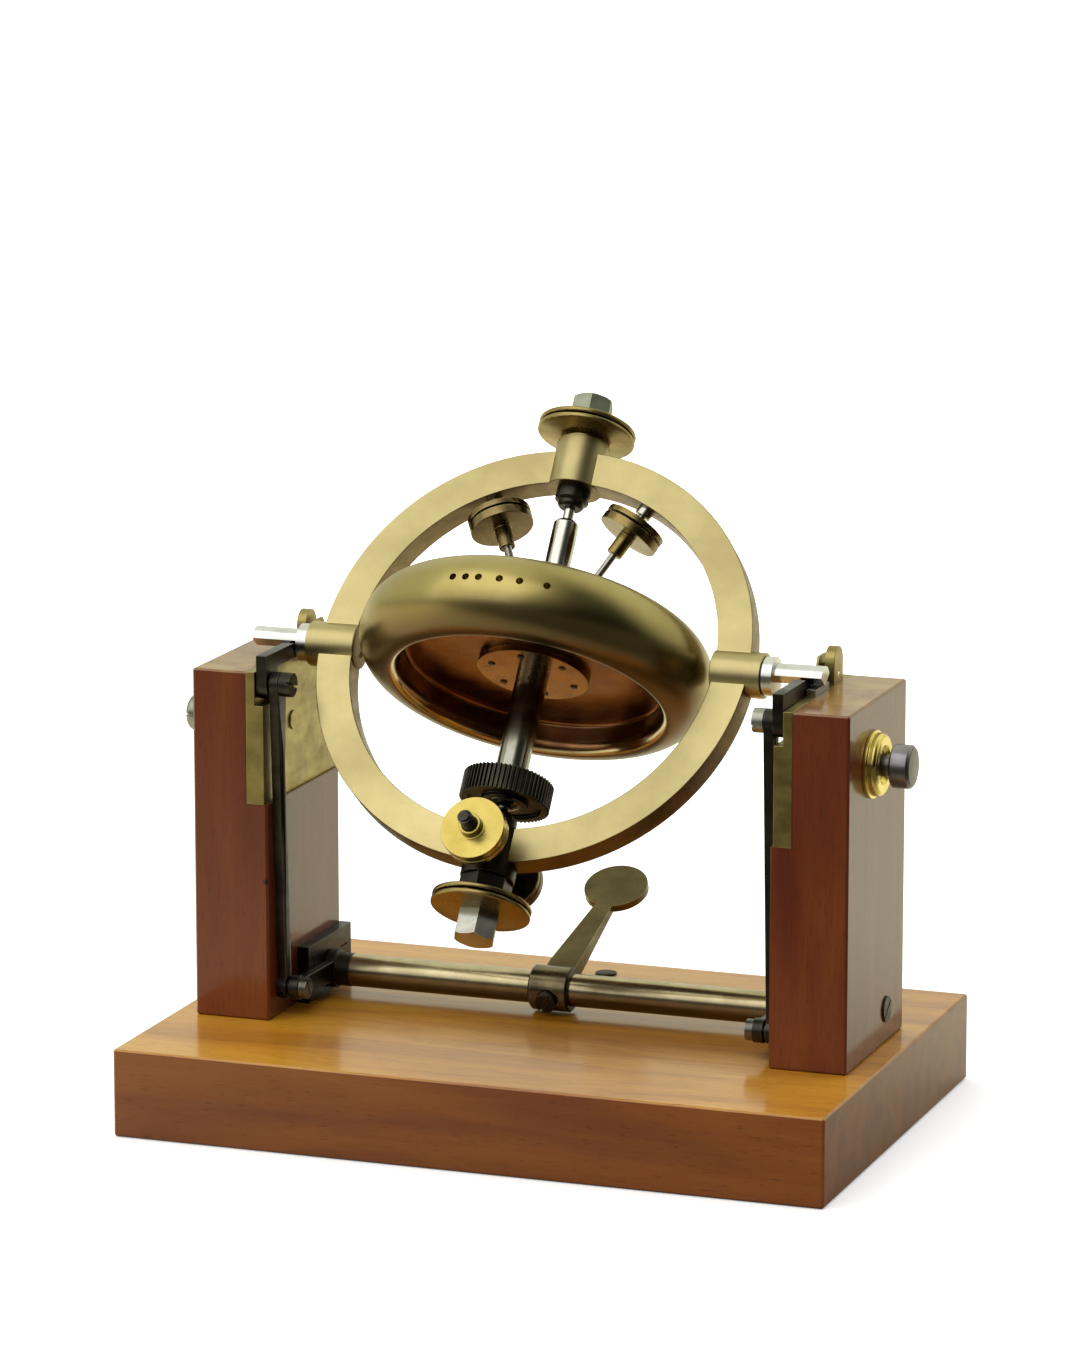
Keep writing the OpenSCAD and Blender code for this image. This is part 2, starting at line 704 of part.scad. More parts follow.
// One casting: the ring with its two trunnion bosses and the two bosses for the pivot screws
module gimbal_ring() {
  c = ring_ease;
  h = ring_t / 2;
  color(brass) in_ring() difference() {
    union() {
      rotate([90, 0, 0]) turned([
        [ring_ri, -h + c], [ring_ri + c, -h], [ring_ro - c, -h], [ring_ro, -h + c],
        [ring_ro, h - c], [ring_ro - c, h], [ring_ri + c, h], [ring_ri, h - c]]);
      for (s = [0, 180]) rotate([0, 90 + s, 0])
        translate([0, 0, boss_start]) cylinder(h = boss_end - boss_start, r = boss_r);
      for (s = [0, 180]) rotate([0, s, 0])
        translate([0, 0, boss_start]) cylinder(h = boss_end - boss_start, r = end_boss_r);
    }
    for (s = [0, 180]) rotate([0, 90 + s, 0])
      translate([0, 0, boss_start - 1]) cylinder(h = boss_end, r = journal_r + run_fit);
    for (s = [0, 180]) rotate([0, s, 0])
      translate([0, 0, boss_start - 1]) cylinder(h = boss_end, r = spigot_r);
    for (s = [-1, 1]) rotate([0, s * rod_angle, 0]) {
      translate([0, 0, ring_ri - rod_sunk]) cylinder(h = 2 * rod_sunk, r = rod_r);
      translate([0, 0, ring_ri - rod_sunk]) cylinder(h = rod_sunk + rod_nut[1], r = rod_nut_r);
    }
    for (s = [90, -90]) translate([0, 0, -stud_v]) rotate([s, 0, 0])
      cylinder(h = 2 * end_boss_r, r = stud_r);
  }
}

// A bush with a black nose: the axle's pivot turns in its mouth, the pivot screw behind it
module bearing_bush() {
  lip = pivot_r + 2;
  cone = 2.6;
  color(black_steel) turned([
    [pivot_r + run_fit, bush_start], [lip, bush_start], [nose_r, bush_start + cone],
    [nose_r, boss_start], [spigot_r, boss_start], [spigot_r, boss_end],
    [screw_r, boss_end], [screw_r, screw_start], [pivot_r + run_fit, screw_start]]);
}
module upper_bearing_bush() { in_ring() bearing_bush(); }
module lower_bearing_bush() { in_ring() rotate([0, 180, 0]) bearing_bush(); }

// The pivot screw runs out through the lock discs, whose faces start at disc_v
module pivot_screw(disc_v) {
  head_v = disc_v + disc_t + disc_gap + nut_t;
  color(steel) {
    translate([0, 0, screw_start]) cylinder(h = head_v - screw_start + eps, r = screw_r);
    translate([0, 0, head_v]) rotate([0, 0, hex_turn])
      cylinder(h = hex_l, r = hex_af / sqrt(3), $fn = 6);
  }
}
module upper_pivot_screw() { in_ring() pivot_screw(upper_disc_v); }
module lower_pivot_screw() { in_ring() rotate([0, 180, 0]) pivot_screw(lower_disc_v); }

// A flat round disc with a rounded rim
module lock_plate(v, t, r, bore) {
  e = 0.5;
  turned([[bore, v], [r - e, v], [r, v + e], [r, v + t - e], [r - e, v + t], [bore, v + t]]);
}

// The inner lock disc is a shallow cone towards the ring with a thin rounded rim
module lock_disc(v) {
  e = 0.5;
  top = v + disc_t;
  turned([[screw_r, v], [hub_r, v], [disc_r - e, top - disc_rim], [disc_r, top - disc_rim + e],
          [disc_r, top - e], [disc_r - e, top], [screw_r, top]]);
}
module upper_lock_disc() {
  color(brass) in_ring() {
    lock_disc(upper_disc_v);
    translate([0, 0, boss_end]) difference() {
      cylinder(h = upper_hub_l + eps, r = hub_r);
      translate([0, 0, -1]) cylinder(h = upper_hub_l + 2, r = screw_r);
    }
  }
}

// The lock nut has a raised middle that meets the disc, which leaves the groove at the rim
module lock_nut(disc_v) {
  e = 0.5;
  v = disc_v + disc_t;
  rim = v + disc_gap;
  turned([[screw_r, v], [hub_r, v], [hub_r, rim], [disc_r - e, rim], [disc_r, rim + e],
          [disc_r, rim + disc_rim - e], [disc_r - e, rim + disc_rim], [hub_r, rim + nut_t],
          [screw_r, rim + nut_t]]);
}
module upper_lock_nut() { color(brass) in_ring() lock_nut(upper_disc_v); }
module lower_lock_disc() { color(brass) in_ring() rotate([0, 180, 0]) lock_disc(lower_disc_v); }
module lower_lock_nut() { color(brass) in_ring() rotate([0, 180, 0]) lock_nut(lower_disc_v); }
module lower_jam_nut() {
  color(black_steel) in_ring() rotate([0, 180, 0]) translate([0, 0, boss_end]) difference() {
    cylinder(h = jam_l, r = jam_r, $fn = 6);
    translate([0, 0, -1]) cylinder(h = jam_l + 2, r = screw_r);
  }
}

// An upper rod points at the rotor's middle and is held by a small nut in the ring
module balance_rod() {
  color(steel) {
    translate([0, 0, rod_end]) cylinder(h = ring_ri + rod_sunk - rod_end, r = rod_r);
    translate([0, 0, ring_ri - rod_nut[0]]) cylinder(h = rod_nut[0] + rod_nut[1], r = rod_nut_r);
  }
}
module left_balance_rod() { in_ring() rotate([0, -rod_angle, 0]) balance_rod(); }
module right_balance_rod() { in_ring() rotate([0, rod_angle, 0]) balance_rod(); }

module stud() {
  color(black_steel) translate([0, 0, spigot_r]) cylinder(h = stud_end - spigot_r, r = stud_r);
}
module front_balance_rod() { in_ring() translate([0, 0, -stud_v]) rotate([90, 0, 0]) stud(); }
module rear_balance_rod() { in_ring() translate([0, 0, -stud_v]) rotate([-90, 0, 0]) stud(); }

// The disc with its hub on one side, from v outwards along the rod
module weight_disc(v, hub_v, hub_len, bore, hub_rad) {
  union() {
    lock_plate(v, weight_t, weight_r, bore);
    turned([[bore, hub_v], [hub_rad, hub_v], [hub_rad, hub_v + hub_len], [bore, hub_v + hub_len]]);
  }
}
module upper_weight() {
  color(brass)
    weight_disc(weight_at, weight_at - weight_hub_l, weight_hub_l + eps, rod_r + run_fit, weight_hub_r);
}
module upper_locknut() {
  v = weight_at + weight_t;
  color(brass) {
    lock_plate(v + disc_gap, locknut_t, weight_r, rod_r + run_fit);
    turned([[rod_r + run_fit, v], [weight_hub_r, v], [weight_hub_r, v + disc_gap + eps],
            [rod_r + run_fit, v + disc_gap + eps]]);
  }
}
module left_balance_weight() { in_ring() rotate([0, -rod_angle, 0]) upper_weight(); }
module left_balance_locknut() { in_ring() rotate([0, -rod_angle, 0]) upper_locknut(); }
module right_balance_weight() { in_ring() rotate([0, rod_angle, 0]) upper_weight(); }
module right_balance_locknut() { in_ring() rotate([0, rod_angle, 0]) upper_locknut(); }

module stud_weight() {
  color(brass)
    weight_disc(stud_weight_at, stud_weight_at + weight_t - eps, stud_hub_l, stud_r + run_fit, stud_hub_r);
}
module stud_locknut() {
  v = stud_weight_at - disc_gap;
  color(brass) {
    lock_plate(v - locknut_t, locknut_t, weight_r, stud_r + run_fit);
    turned([[stud_r + run_fit, v - eps], [stud_hub_r, v - eps], [stud_hub_r, v + disc_gap],
            [stud_r + run_fit, v + disc_gap]]);
  }
}
module at_front() { in_ring() translate([0, 0, -stud_v]) rotate([90, 0, 0]) children(); }
module at_rear() { in_ring() translate([0, 0, -stud_v]) rotate([-90, 0, 0]) children(); }
module front_balance_weight() { at_front() stud_weight(); }
module front_balance_locknut() { at_front() stud_locknut(); }
module rear_balance_weight() { at_rear() stud_weight(); }
module rear_balance_locknut() { at_rear() stud_locknut(); }

// Half of the rim's section, from the web out: a fat rim with a full outer curve, a tight curve
// into the opening and a straight inner wall
function half_section() =
  let (a = rotor_r - rim_round - rim_ri, c = [rotor_r - rim_round, rim_h - 1.5 * a])
  concat([[rim_ri, web_h]], arc(c, a, 1.5 * a, 180, 90, 8),
         arc([rotor_r - rim_round, 0], rim_round, rim_h, 90, 0, 20));
function mirrored(p) = [for (i = [len(p) - 2 : -1 : 0]) [p[i][0], -p[i][1]]];
module flange_holes(h) {
  for (i = [0 : flange_screws - 1]) rotate([0, 0, (i + 0.5) * 360 / flange_screws])
    translate([flange_circle, 0, -h]) cylinder(h = 2 * h, r = dot_r);
}
// The wheel itself: the heavy rim, with small balancing holes drilled into its outer face
module rotor_wheel() {
  p = half_section();
  color(brass) in_ring() difference() {
    turned(concat(p, mirrored(p), [[rim_ri, -web_h]]));
    for (a = dot_angles) rotate([0, 0, a - 90]) translate([rotor_r - dot_depth, 0, dot_v])
      rotate([0, 90, 0]) cylinder(h = 2 * dot_depth, r = dot_r);
  }
}

// The web is the thin disc inside the rim, face to face with its inner wall
module rotor_web() {
  color(brass) in_ring() difference() {
    turned([[axle_low_r, -web_h], [rim_ri, -web_h], [rim_ri, web_h], [axle_low_r, web_h]]);
    flange_holes(web_h + 1);
  }
}
module hub_flange() {
  e = 0.5;
  color(old_brass) difference() {
    turned([[axle_low_r, web_h], [flange_r, web_h], [flange_r, web_h + flange_t - e],
            [flange_r - e, web_h + flange_t], [axle_low_r, web_h + flange_t]]);
    flange_holes(web_h + flange_t + 1);
  }
}
module upper_hub_flange() { in_ring() hub_flange(); }
module lower_hub_flange() { in_ring() rotate([180, 0, 0]) hub_flange(); }
module hub_flange_screws() {
  proud = 0.4;
  color(black_steel) in_ring() flange_holes(web_h + flange_t + proud);
}

// The axle steps down at both ends to the pivots that turn in the bushes
module rotor_axle() {
  flange_v = web_h + flange_t;
  gear_end = -gear_v - gear_w;
  e = 0.4;
  bevel = 1;
  cone = [1.4, 1.6];
  color(steel) in_ring() turned([
    [0, pivot_end], [pivot_r - e, pivot_end], [pivot_r, pivot_end - e], [pivot_r, shoulder_v],
    [axle_top_r - bevel, shoulder_v], [axle_top_r, shoulder_v - bevel], [axle_top_r, flange_v],
    [axle_low_r, flange_v], [axle_low_r, gear_end], [pivot_r + cone[0], gear_end - cone[1]],
    [pivot_r, gear_end - cone[1]], [pivot_r, e - pivot_end], [pivot_r - e, -pivot_end],
    [0, -pivot_end]]);
}

// The driving gear: straight teeth for a hand-cranked spinning gear to turn the rotor
module drive_gear() {
  depth = 1.1;
  face = [gear_r - 3.4, axle_low_r + 3, 1.4];
  step = 360 / gear_teeth;
  tooth = [[-0.5, 0], [-0.25, 0], [-0.12, 1], [0.12, 1], [0.25, 0]];
  outline = [for (i = [0 : gear_teeth - 1]) for (k = tooth)
    let (a = (i + k[0]) * step, r = gear_r - depth * (1 - k[1])) [r * cos(a), r * sin(a)]];
  color(black_steel) in_ring() translate([0, 0, -gear_v - gear_w]) difference() {
    linear_extrude(gear_w) polygon(outline);
    translate([0, 0, -1]) cylinder(h = gear_w + 2, r = axle_low_r);
    translate([0, 0, -eps]) difference() {
      cylinder(h = face[2], r = face[0]);
      translate([0, 0, -1]) cylinder(h = face[2] + 2, r = face[1]);
    }
  }
}

base_board();
left_pillar();
right_pillar();
left_bearing_plate();
right_bearing_plate();
left_bed();
right_bed();
left_clevis();
right_clevis();
clevis_pins();
left_shaft_bracket();
right_shaft_bracket();
wood_screws();
left_plate_bolt();
right_ferrule();
clamp_knob();
cross_shaft();
left_crank();
right_crank();
crank_pins();
shaft_hub();
hub_screw();
paddle_lever();
left_link();
right_link();
left_lift_lever();
right_lift_lever();
left_lever_screw();
right_lever_screw();
left_trunnion();
right_trunnion();
gimbal_ring();
upper_bearing_bush();
lower_bearing_bush();
upper_pivot_screw();
lower_pivot_screw();
upper_lock_disc();
upper_lock_nut();
lower_lock_disc();
lower_lock_nut();
lower_jam_nut();
left_balance_rod();
right_balance_rod();
front_balance_rod();
rear_balance_rod();
left_balance_weight();
left_balance_locknut();
right_balance_weight();
right_balance_locknut();
front_balance_weight();
front_balance_locknut();
rear_balance_weight();
rear_balance_locknut();
rotor_wheel();
rotor_web();
upper_hub_flange();
lower_hub_flange();
hub_flange_screws();
rotor_axle();
drive_gear();
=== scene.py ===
# %% [markdown]
# # Dressing a demonstration gyroscope
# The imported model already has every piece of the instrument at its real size: a heavy bronze rotor in
# a brass ring, two mahogany pillars, a board, and the steel lifting gear. This lesson gives each piece
# the surface that the maker left on it. Some pieces keep their shape and only take a finish. Others
# are turned, threaded, slotted or eased again with bmesh operators, because a close view asks for
# more than the plain solid has.

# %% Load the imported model
import json
import math

import bmesh
import bpy
from mathutils import Matrix, Vector


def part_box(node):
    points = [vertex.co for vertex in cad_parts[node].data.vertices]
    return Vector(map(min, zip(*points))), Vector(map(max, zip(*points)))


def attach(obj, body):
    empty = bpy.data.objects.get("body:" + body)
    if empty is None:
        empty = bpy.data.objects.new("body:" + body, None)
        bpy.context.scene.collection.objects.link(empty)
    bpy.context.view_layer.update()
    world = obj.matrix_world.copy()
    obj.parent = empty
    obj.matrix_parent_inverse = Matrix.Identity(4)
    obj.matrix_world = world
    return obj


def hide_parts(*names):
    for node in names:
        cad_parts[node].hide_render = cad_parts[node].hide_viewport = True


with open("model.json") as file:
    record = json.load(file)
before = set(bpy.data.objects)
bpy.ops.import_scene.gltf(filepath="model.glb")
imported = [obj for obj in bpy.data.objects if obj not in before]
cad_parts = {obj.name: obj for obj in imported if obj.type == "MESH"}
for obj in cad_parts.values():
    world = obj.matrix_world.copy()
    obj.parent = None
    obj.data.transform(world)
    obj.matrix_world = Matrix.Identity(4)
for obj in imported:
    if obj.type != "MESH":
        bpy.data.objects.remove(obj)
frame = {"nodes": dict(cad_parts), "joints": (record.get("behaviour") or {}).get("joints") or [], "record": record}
nodes = frame["nodes"]
joints = {joint["name"]: joint for joint in frame["joints"]}
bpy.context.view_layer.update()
mm = 0.001
print("nodes to dress:", len(nodes))

# %% [markdown]
# ## Where things stand
# The ring leans back, so most turned pieces don't stand square to the room. The joints of the frame
# say where the ring's centre is and which way the axle points, and from these two a matrix is made
# that carries a piece from the lathe (upright on Z) to its place in the ring. Each balance rod gets a
# matrix of its own: the upper two from the slides of their weights, and the others from the ring's
# front. What was turned on the trunnion line, the bolt's line or the cross shaft lies along X.

# %% Frames of the ring, the rods and the shafts
AXIS_X = Vector((1, 0, 0))


def frame_along(origin, along, level=AXIS_X):
    """A matrix whose Z runs along a direction and whose X stays as near to level as it can."""
    z = Vector(along).normalized()
    x = (Vector(level) - z * Vector(level).dot(z)).normalized()
    turn = Matrix((x, z.cross(x), z)).transposed()
    return Matrix.Translation(Vector(origin)) @ turn.to_4x4()


ring_centre = Vector(joints["ring_lean"]["pos_m"])
in_ring = frame_along(ring_centre, joints["rotor_spin"]["axis"])
axle = in_ring.to_3x3() @ Vector((0, 0, 1))
towards_front = in_ring.to_3x3() @ Vector((0, -1, 0))


def x_frame(y, z):
    """Z of the lathe laid along X through a point of the YZ plane."""
    return frame_along((0, y, z), AXIS_X, (0, 0, 1))


def extent(node, place):
    """Lowest and highest corners of a CAD node, measured in a matrix's own frame."""
    back = place.inverted()
    points = [back @ vertex.co for vertex in nodes[node].data.vertices]
    low = Vector(min(point[i] for point in points) for i in range(3))
    high = Vector(max(point[i] for point in points) for i in range(3))
    return low, high


def stud_height():
    """Distance of the front and rear rods from the rotor's middle, down the axle."""
    low, high = extent("front_balance_rod", in_ring)
    return (low.z + high.z) / 2


rod_frames = {
    "left": frame_along(ring_centre, joints["left_weight_slide"]["axis"]),
    "right": frame_along(ring_centre, joints["right_weight_slide"]["axis"]),
    "front": frame_along(ring_centre + axle * stud_height(), towards_front),
    "rear": frame_along(ring_centre + axle * stud_height(), -towards_front),
}
print("axle leans back by", round(math.degrees(axle.angle(Vector((0, 0, 1)))), 1), "degrees")

# %% [markdown]
# ## From bmesh to a piece
# Every new piece ends the same way: its faces are turned outwards, it is shaded smooth up to a chosen
# angle, it rides on the body that carries it, and it stands in for its plain node. A Weighted Normal
# modifier keeps the large flat faces flat beside a small rounded edge, which is what makes a metal
# edge look cut and not melted.

# %% Finish a piece
body_of = {node: body for body, members in frame["record"]["behaviour"]["bodies"].items()
           for node in members}
made = []


def placed(bm, place):
    """Carries a whole bmesh by a matrix."""
    bmesh.ops.transform(bm, matrix=place, verts=bm.verts)
    return bm


def finish_piece(name, bm, material, stands_for, place=None, smooth=38):
    """Turns a bmesh into an object that stands for one or more CAD nodes and rides with the first."""
    if place is not None:
        placed(bm, place)
    bmesh.ops.recalc_face_normals(bm, faces=bm.faces)
    mesh = bpy.data.meshes.new(name)
    for face in bm.faces:
        face.smooth = True
    bm.to_mesh(mesh)
    bm.free()
    mesh.set_sharp_from_angle(angle=math.radians(smooth))
    piece = bpy.data.objects.new(name, mesh)
    bpy.context.scene.collection.objects.link(piece)
    for one in material if isinstance(material, list) else [material]:
        mesh.materials.append(one)
    weigh = piece.modifiers.new("Flat faces stay flat", "WEIGHTED_NORMAL")
    weigh.keep_sharp = True
    members = [stands_for] if isinstance(stands_for, str) else stands_for
    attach(piece, body_of[members[0]])
    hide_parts(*members)
    made.append(piece)


print("bodies to ride on:", len(set(body_of.values())))

# %% [markdown]
# ## More than one finish, and more than one shape
# A turned piece can be bright on its face and dark on its side. It would be wrong to split it, so each
# face of one mesh picks a finish from the piece's list. Screws that share a CAD node are the other
# way round: many shapes become one mesh.

# %% Choose finishes and join shapes
def choose_finish(bm, rule):
    """Gives each face the number of its finish in the piece's list, which a rule reads off the face."""
    for face in bm.faces:
        face.material_index = rule(face)


def join(*parts):
    """Puts several bmeshes into the first one."""
    whole = parts[0]
    for part in parts[1:]:
        scrap = bpy.data.meshes.new("scrap")
        part.to_mesh(scrap)
        whole.from_mesh(scrap)
        part.free()
        bpy.data.meshes.remove(scrap)
    return whole


trial = [bmesh.new(), bmesh.new()]
for cube in trial:
    bmesh.ops.create_cube(cube, size=mm)
joined = join(*trial)
print("faces of two joined cubes:", len(joined.faces))
joined.free()

# %% [markdown]
# ## Turning
# Most of the instrument came off a lathe. A turned piece starts as half of its section, a line of
# points from the axis out and back, and the spin operator sweeps it round. Its sharp edges are then
# bevelled. Primitive cylinders could be stacked up instead, but a section keeps a whole piece in one
# closed shell, with every step and curve in view.

# %% Turn a section
EASE_ANGLE = math.radians(28)
DOUBLES = 1e-7


def ease_edges(bm, radius, segments=2, angle=EASE_ANGLE):
    """Rounds every edge that is sharper than an angle."""
    sharp = [edge for edge in bm.edges if edge.is_manifold and edge.calc_face_angle(0) > angle]
    bmesh.ops.bevel(bm, geom=sharp, offset=radius, offset_type="OFFSET", segments=segments,
                    profile=0.5, affect="EDGES", clamp_overlap=True, material=-1)


def lathe(section, ease=0.0, steps=96, segments=2):
    """Spins a section of (radius, height) points round Z. A section off the axis is closed first."""
    bm = bmesh.new()
    verts = [bm.verts.new((radius, 0, height)) for radius, height in section]
    pairs = list(zip(verts, verts[1:]))
    if section[0][0] > 0 and section[-1][0] > 0:
        pairs.append((verts[-1], verts[0]))
    edges = [bm.edges.new(pair) for pair in pairs]
    bmesh.ops.spin(bm, geom=verts + edges, cent=(0, 0, 0), axis=(0, 0, 1), dvec=(0, 0, 0),
                   angle=2 * math.pi, steps=steps, use_merge=True)
    bmesh.ops.remove_doubles(bm, verts=bm.verts, dist=DOUBLES)
    bmesh.ops.recalc_face_normals(bm, faces=bm.faces)
    if ease:
        ease_edges(bm, ease, segments)
    return bm


trial = lathe([(mm, 0), (2 * mm, 0), (2 * mm, mm), (mm, mm)], 0.1 * mm)
print("faces of a small turned washer:", len(trial.faces))
trial.free()

# %% [markdown]
# ## Rods, turns and arcs
# Three small helpers save much repeating later: a plain rod, a turn of a whole shape about an axis,
# and the points of an arc for the places where a section is rounded.

# %% Rod, turn and arc
def rod(radius, low, high, ease=0.0, steps=32):
    """A plain turned rod between two heights."""
    return lathe([(0, low), (radius, low), (radius, high), (0, high)], ease, steps)


def turned(bm, degrees, axis):
    """Turns a whole bmesh about X, Y or Z."""
    bmesh.ops.rotate(bm, cent=(0, 0, 0), matrix=Matrix.Rotation(math.radians(degrees), 3, axis),
                     verts=bm.verts)
    return bm


def arc(centre, across, along, start, end, steps):
    """Points of an elliptical arc, for the rounded part of a section."""
    turns = [math.radians(start + (end - start) * i / steps) for i in range(steps + 1)]
    return [(centre[0] + across * math.cos(t), centre[1] + along * math.sin(t)) for t in turns]


trial = turned(rod(mm, 0, 10 * mm, 0.1 * mm), 90, "Y")
print("a rod laid along X reaches (mm):", round(max(vertex.co.x for vertex in trial.verts) / mm, 1))
trial.free()

# %% [markdown]
# ## Easing a CAD mesh
# A flat or sawn piece starts from its own CAD mesh, which has the true outline already. Such a mesh is
# loose triangles, so they are merged first, flat areas are dissolved to single faces, and the sharp
# edges are bevelled.

# %% Ease a copy of a node
MERGE = 2e-6
FLAT_ANGLE = math.radians(0.5)


def eased_copy(node, radius, segments=3, angle=EASE_ANGLE):
    """A merged copy of a CAD node with its sharp edges rounded."""
    bm = bmesh.new()
    bm.from_mesh(nodes[node].data)
    bmesh.ops.remove_doubles(bm, verts=bm.verts, dist=MERGE)
    bmesh.ops.dissolve_limit(bm, angle_limit=FLAT_ANGLE, use_dissolve_boundaries=False,
                             verts=bm.verts, edges=bm.edges)
    ease_edges(bm, radius, segments, angle)
    return bm


trial = eased_copy("left_bed", 0.12 * mm)
print("faces of a bed:", len(nodes["left_bed"].data.polygons), "from the CAD,", len(trial.faces), "eased")
trial.free()

# %% [markdown]
# ## Screw threads
# A thread could be a bump, but the balance rods stand against the light, where only real teeth show.
# So a saw-tooth line climbs one pitch while it spins once round, and the ends are cut square and
# closed.

# %% Thread
THREAD_DEPTH = 0.55
CREST = (0.42, 0.58)
ON_PLANE = 1e-6


def threaded(radius, low, high, pitch, steps=40):
    """A rod with a real screw thread, from low to high on Z."""
    depth = THREAD_DEPTH * pitch
    turns = round((high - low) / pitch) + 4
    bm = bmesh.new()
    start = low - 2 * pitch
    points = []
    for i in range(turns):
        points += [(radius - depth, start + i * pitch), (radius, start + (i + CREST[0]) * pitch),
                   (radius, start + (i + CREST[1]) * pitch)]
    points.append((radius - depth, start + turns * pitch))
    verts = [bm.verts.new((r, 0, z)) for r, z in points]
    edges = [bm.edges.new(pair) for pair in zip(verts, verts[1:])]
    bmesh.ops.spin(bm, geom=verts + edges, cent=(0, 0, 0), axis=(0, 0, 1), dvec=(0, 0, pitch / steps),
                   angle=2 * math.pi, steps=steps, use_merge=False)
    bmesh.ops.remove_doubles(bm, verts=bm.verts, dist=ON_PLANE)
    for height, side in ((low, -1), (high, 1)):
        bmesh.ops.bisect_plane(bm, geom=bm.verts[:] + bm.edges[:] + bm.faces[:], plane_co=(0, 0, height),
                               plane_no=(0, 0, side), clear_outer=True)
        rim = [edge for edge in bm.edges if edge.is_boundary and
               all(abs(vertex.co.z - height) < ON_PLANE for vertex in edge.verts)]
        bmesh.ops.holes_fill(bm, edges=rim, sides=0)
    return bm


trial = threaded(2 * mm, 0, 5 * mm, 0.5 * mm)
print("faces of a thread with ten turns:", len(trial.faces))
trial.free()

# %% [markdown]
# ## Bars, blocks and cuts
# Hexagon heads start as a prism, and a block is the plain cutter for screw slots. A slot or a hole is
# cut with an exact boolean: the two shapes become objects for a moment, the modifier is evaluated, and
# the result comes back as a bmesh.

# %% Prism, block and cut
def prism(sides, across_flats, low, high, ease=0.0, turn=0.0):
    """A bar with flat sides between two heights on Z."""
    bm = bmesh.new()
    corner = across_flats / 2 / math.cos(math.pi / sides)
    place = Matrix.Translation((0, 0, (low + high) / 2)) @ Matrix.Rotation(math.radians(turn), 4, "Z")
    bmesh.ops.create_cone(bm, cap_ends=True, segments=sides, radius1=corner, radius2=corner,
                          depth=high - low, matrix=place)
    if ease:
        ease_edges(bm, ease)
    return bm


def block(low, high):
    """A plain block, used as a cutter."""
    bm = bmesh.new()
    size = Vector(high) - Vector(low)
    bmesh.ops.create_cube(bm, size=1)
    bmesh.ops.scale(bm, vec=size, verts=bm.verts)
    bmesh.ops.translate(bm, vec=(Vector(low) + Vector(high)) / 2, verts=bm.verts)
    return bm


def cut(bm, cutter):
    """Takes one closed bmesh out of another."""
    held = []
    for part in (bm, cutter):
        mesh = bpy.data.meshes.new("cutting")
        part.to_mesh(mesh)
        part.free()
        held.append(bpy.data.objects.new("cutting", mesh))
        bpy.context.scene.collection.objects.link(held[-1])
    step = held[0].modifiers.new("Cut", "BOOLEAN")
    step.operation, step.solver, step.object = "DIFFERENCE", "EXACT", held[1]
    result = bmesh.new()
    result.from_object(held[0], bpy.context.evaluated_depsgraph_get())
    for thing in held:
        mesh = thing.data
        bpy.data.objects.remove(thing)
        bpy.data.meshes.remove(mesh)
    return result


trial = cut(prism(6, 15 * mm, 0, 5 * mm), block((-10 * mm, -mm, 3 * mm), (10 * mm, mm, 6 * mm)))
print("faces of a slotted hexagon:", len(trial.faces))
trial.free()

# %% [markdown]
# ## Wiring a finish
# A finish is a small network of nodes. The pattern always starts at Object coordinates, which are the
# real place of a point on the instrument in metres, so a scale of 1000 means one millimetre. Two
# helpers keep the networks short: one adds and links a node, and the other makes a noise that can be
# stretched along a direction.

# %% Nodes and noise
def node_in(tree, kind, values=None, **settings):
    """Adds a shader node and fills or links its inputs, which are named or numbered."""
    new = tree.nodes.new("ShaderNode" + kind)
    for key, value in settings.items():
        setattr(new, key, value)
    for key, value in (values or {}).items():
        if isinstance(value, bpy.types.NodeSocket):
            tree.links.new(value, new.inputs[key])
        else:
            new.inputs[key].default_value = value
    return new


def stretched_noise(tree, scale, detail=4.0, rough=0.55, place=None, offset=0.0, twist=0.0):
    """Noise whose features have the size 1 / scale along each axis of a frame."""
    where = node_in(tree, "TexCoord").outputs["Object"]
    if place is not None:
        back = place.inverted()
        where = node_in(tree, "Mapping", {"Vector": where, "Location": back.to_translation(),
                                          "Rotation": back.to_euler()}).outputs[0]
    spread = node_in(tree, "Mapping", {"Vector": where, "Scale": scale,
                                       "Location": (offset, offset * 0.7, offset * 1.3)}).outputs[0]
    return node_in(tree, "TexNoise", {"Vector": spread, "Scale": 1.0, "Detail": detail,
                                      "Roughness": rough, "Distortion": twist}).outputs[0]


trial = bpy.data.materials.new("Trial")
trial.use_nodes = True
plain_nodes = len(trial.node_tree.nodes)
stretched_noise(trial.node_tree, (9, 9, 9))
print("nodes that one noise adds:", len(trial.node_tree.nodes) - plain_nodes)
bpy.data.materials.remove(trial)

# %% [markdown]
# ## Mapping and mixing
# A noise alone is only a grey cloud between 0 and 1. It becomes tarnish or grain when a ramp turns it
# into colours, when its range is stretched and clamped, or when it says how much of one colour is laid
# over another. A span is read as: this value, from this range, to that range.

# %% Ramp, span, mix and sums
def ramp(tree, value, *stops):
    """A colour ramp from (position, colour) stops."""
    new = node_in(tree, "ValToRGB", {0: value})
    elements = new.color_ramp.elements
    while len(elements) < len(stops):
        elements.new(0.5)
    for element, (position, colour) in zip(elements, stops):
        element.position = position
        element.color = (*colour, 1)
    return new.outputs[0]


def span(tree, value, from_low, from_high, to_low, to_high):
    """Maps a value from one range to another and clamps it."""
    return node_in(tree, "MapRange", {0: value, 1: from_low, 2: from_high, 3: to_low,
                                      4: to_high}).outputs[0]


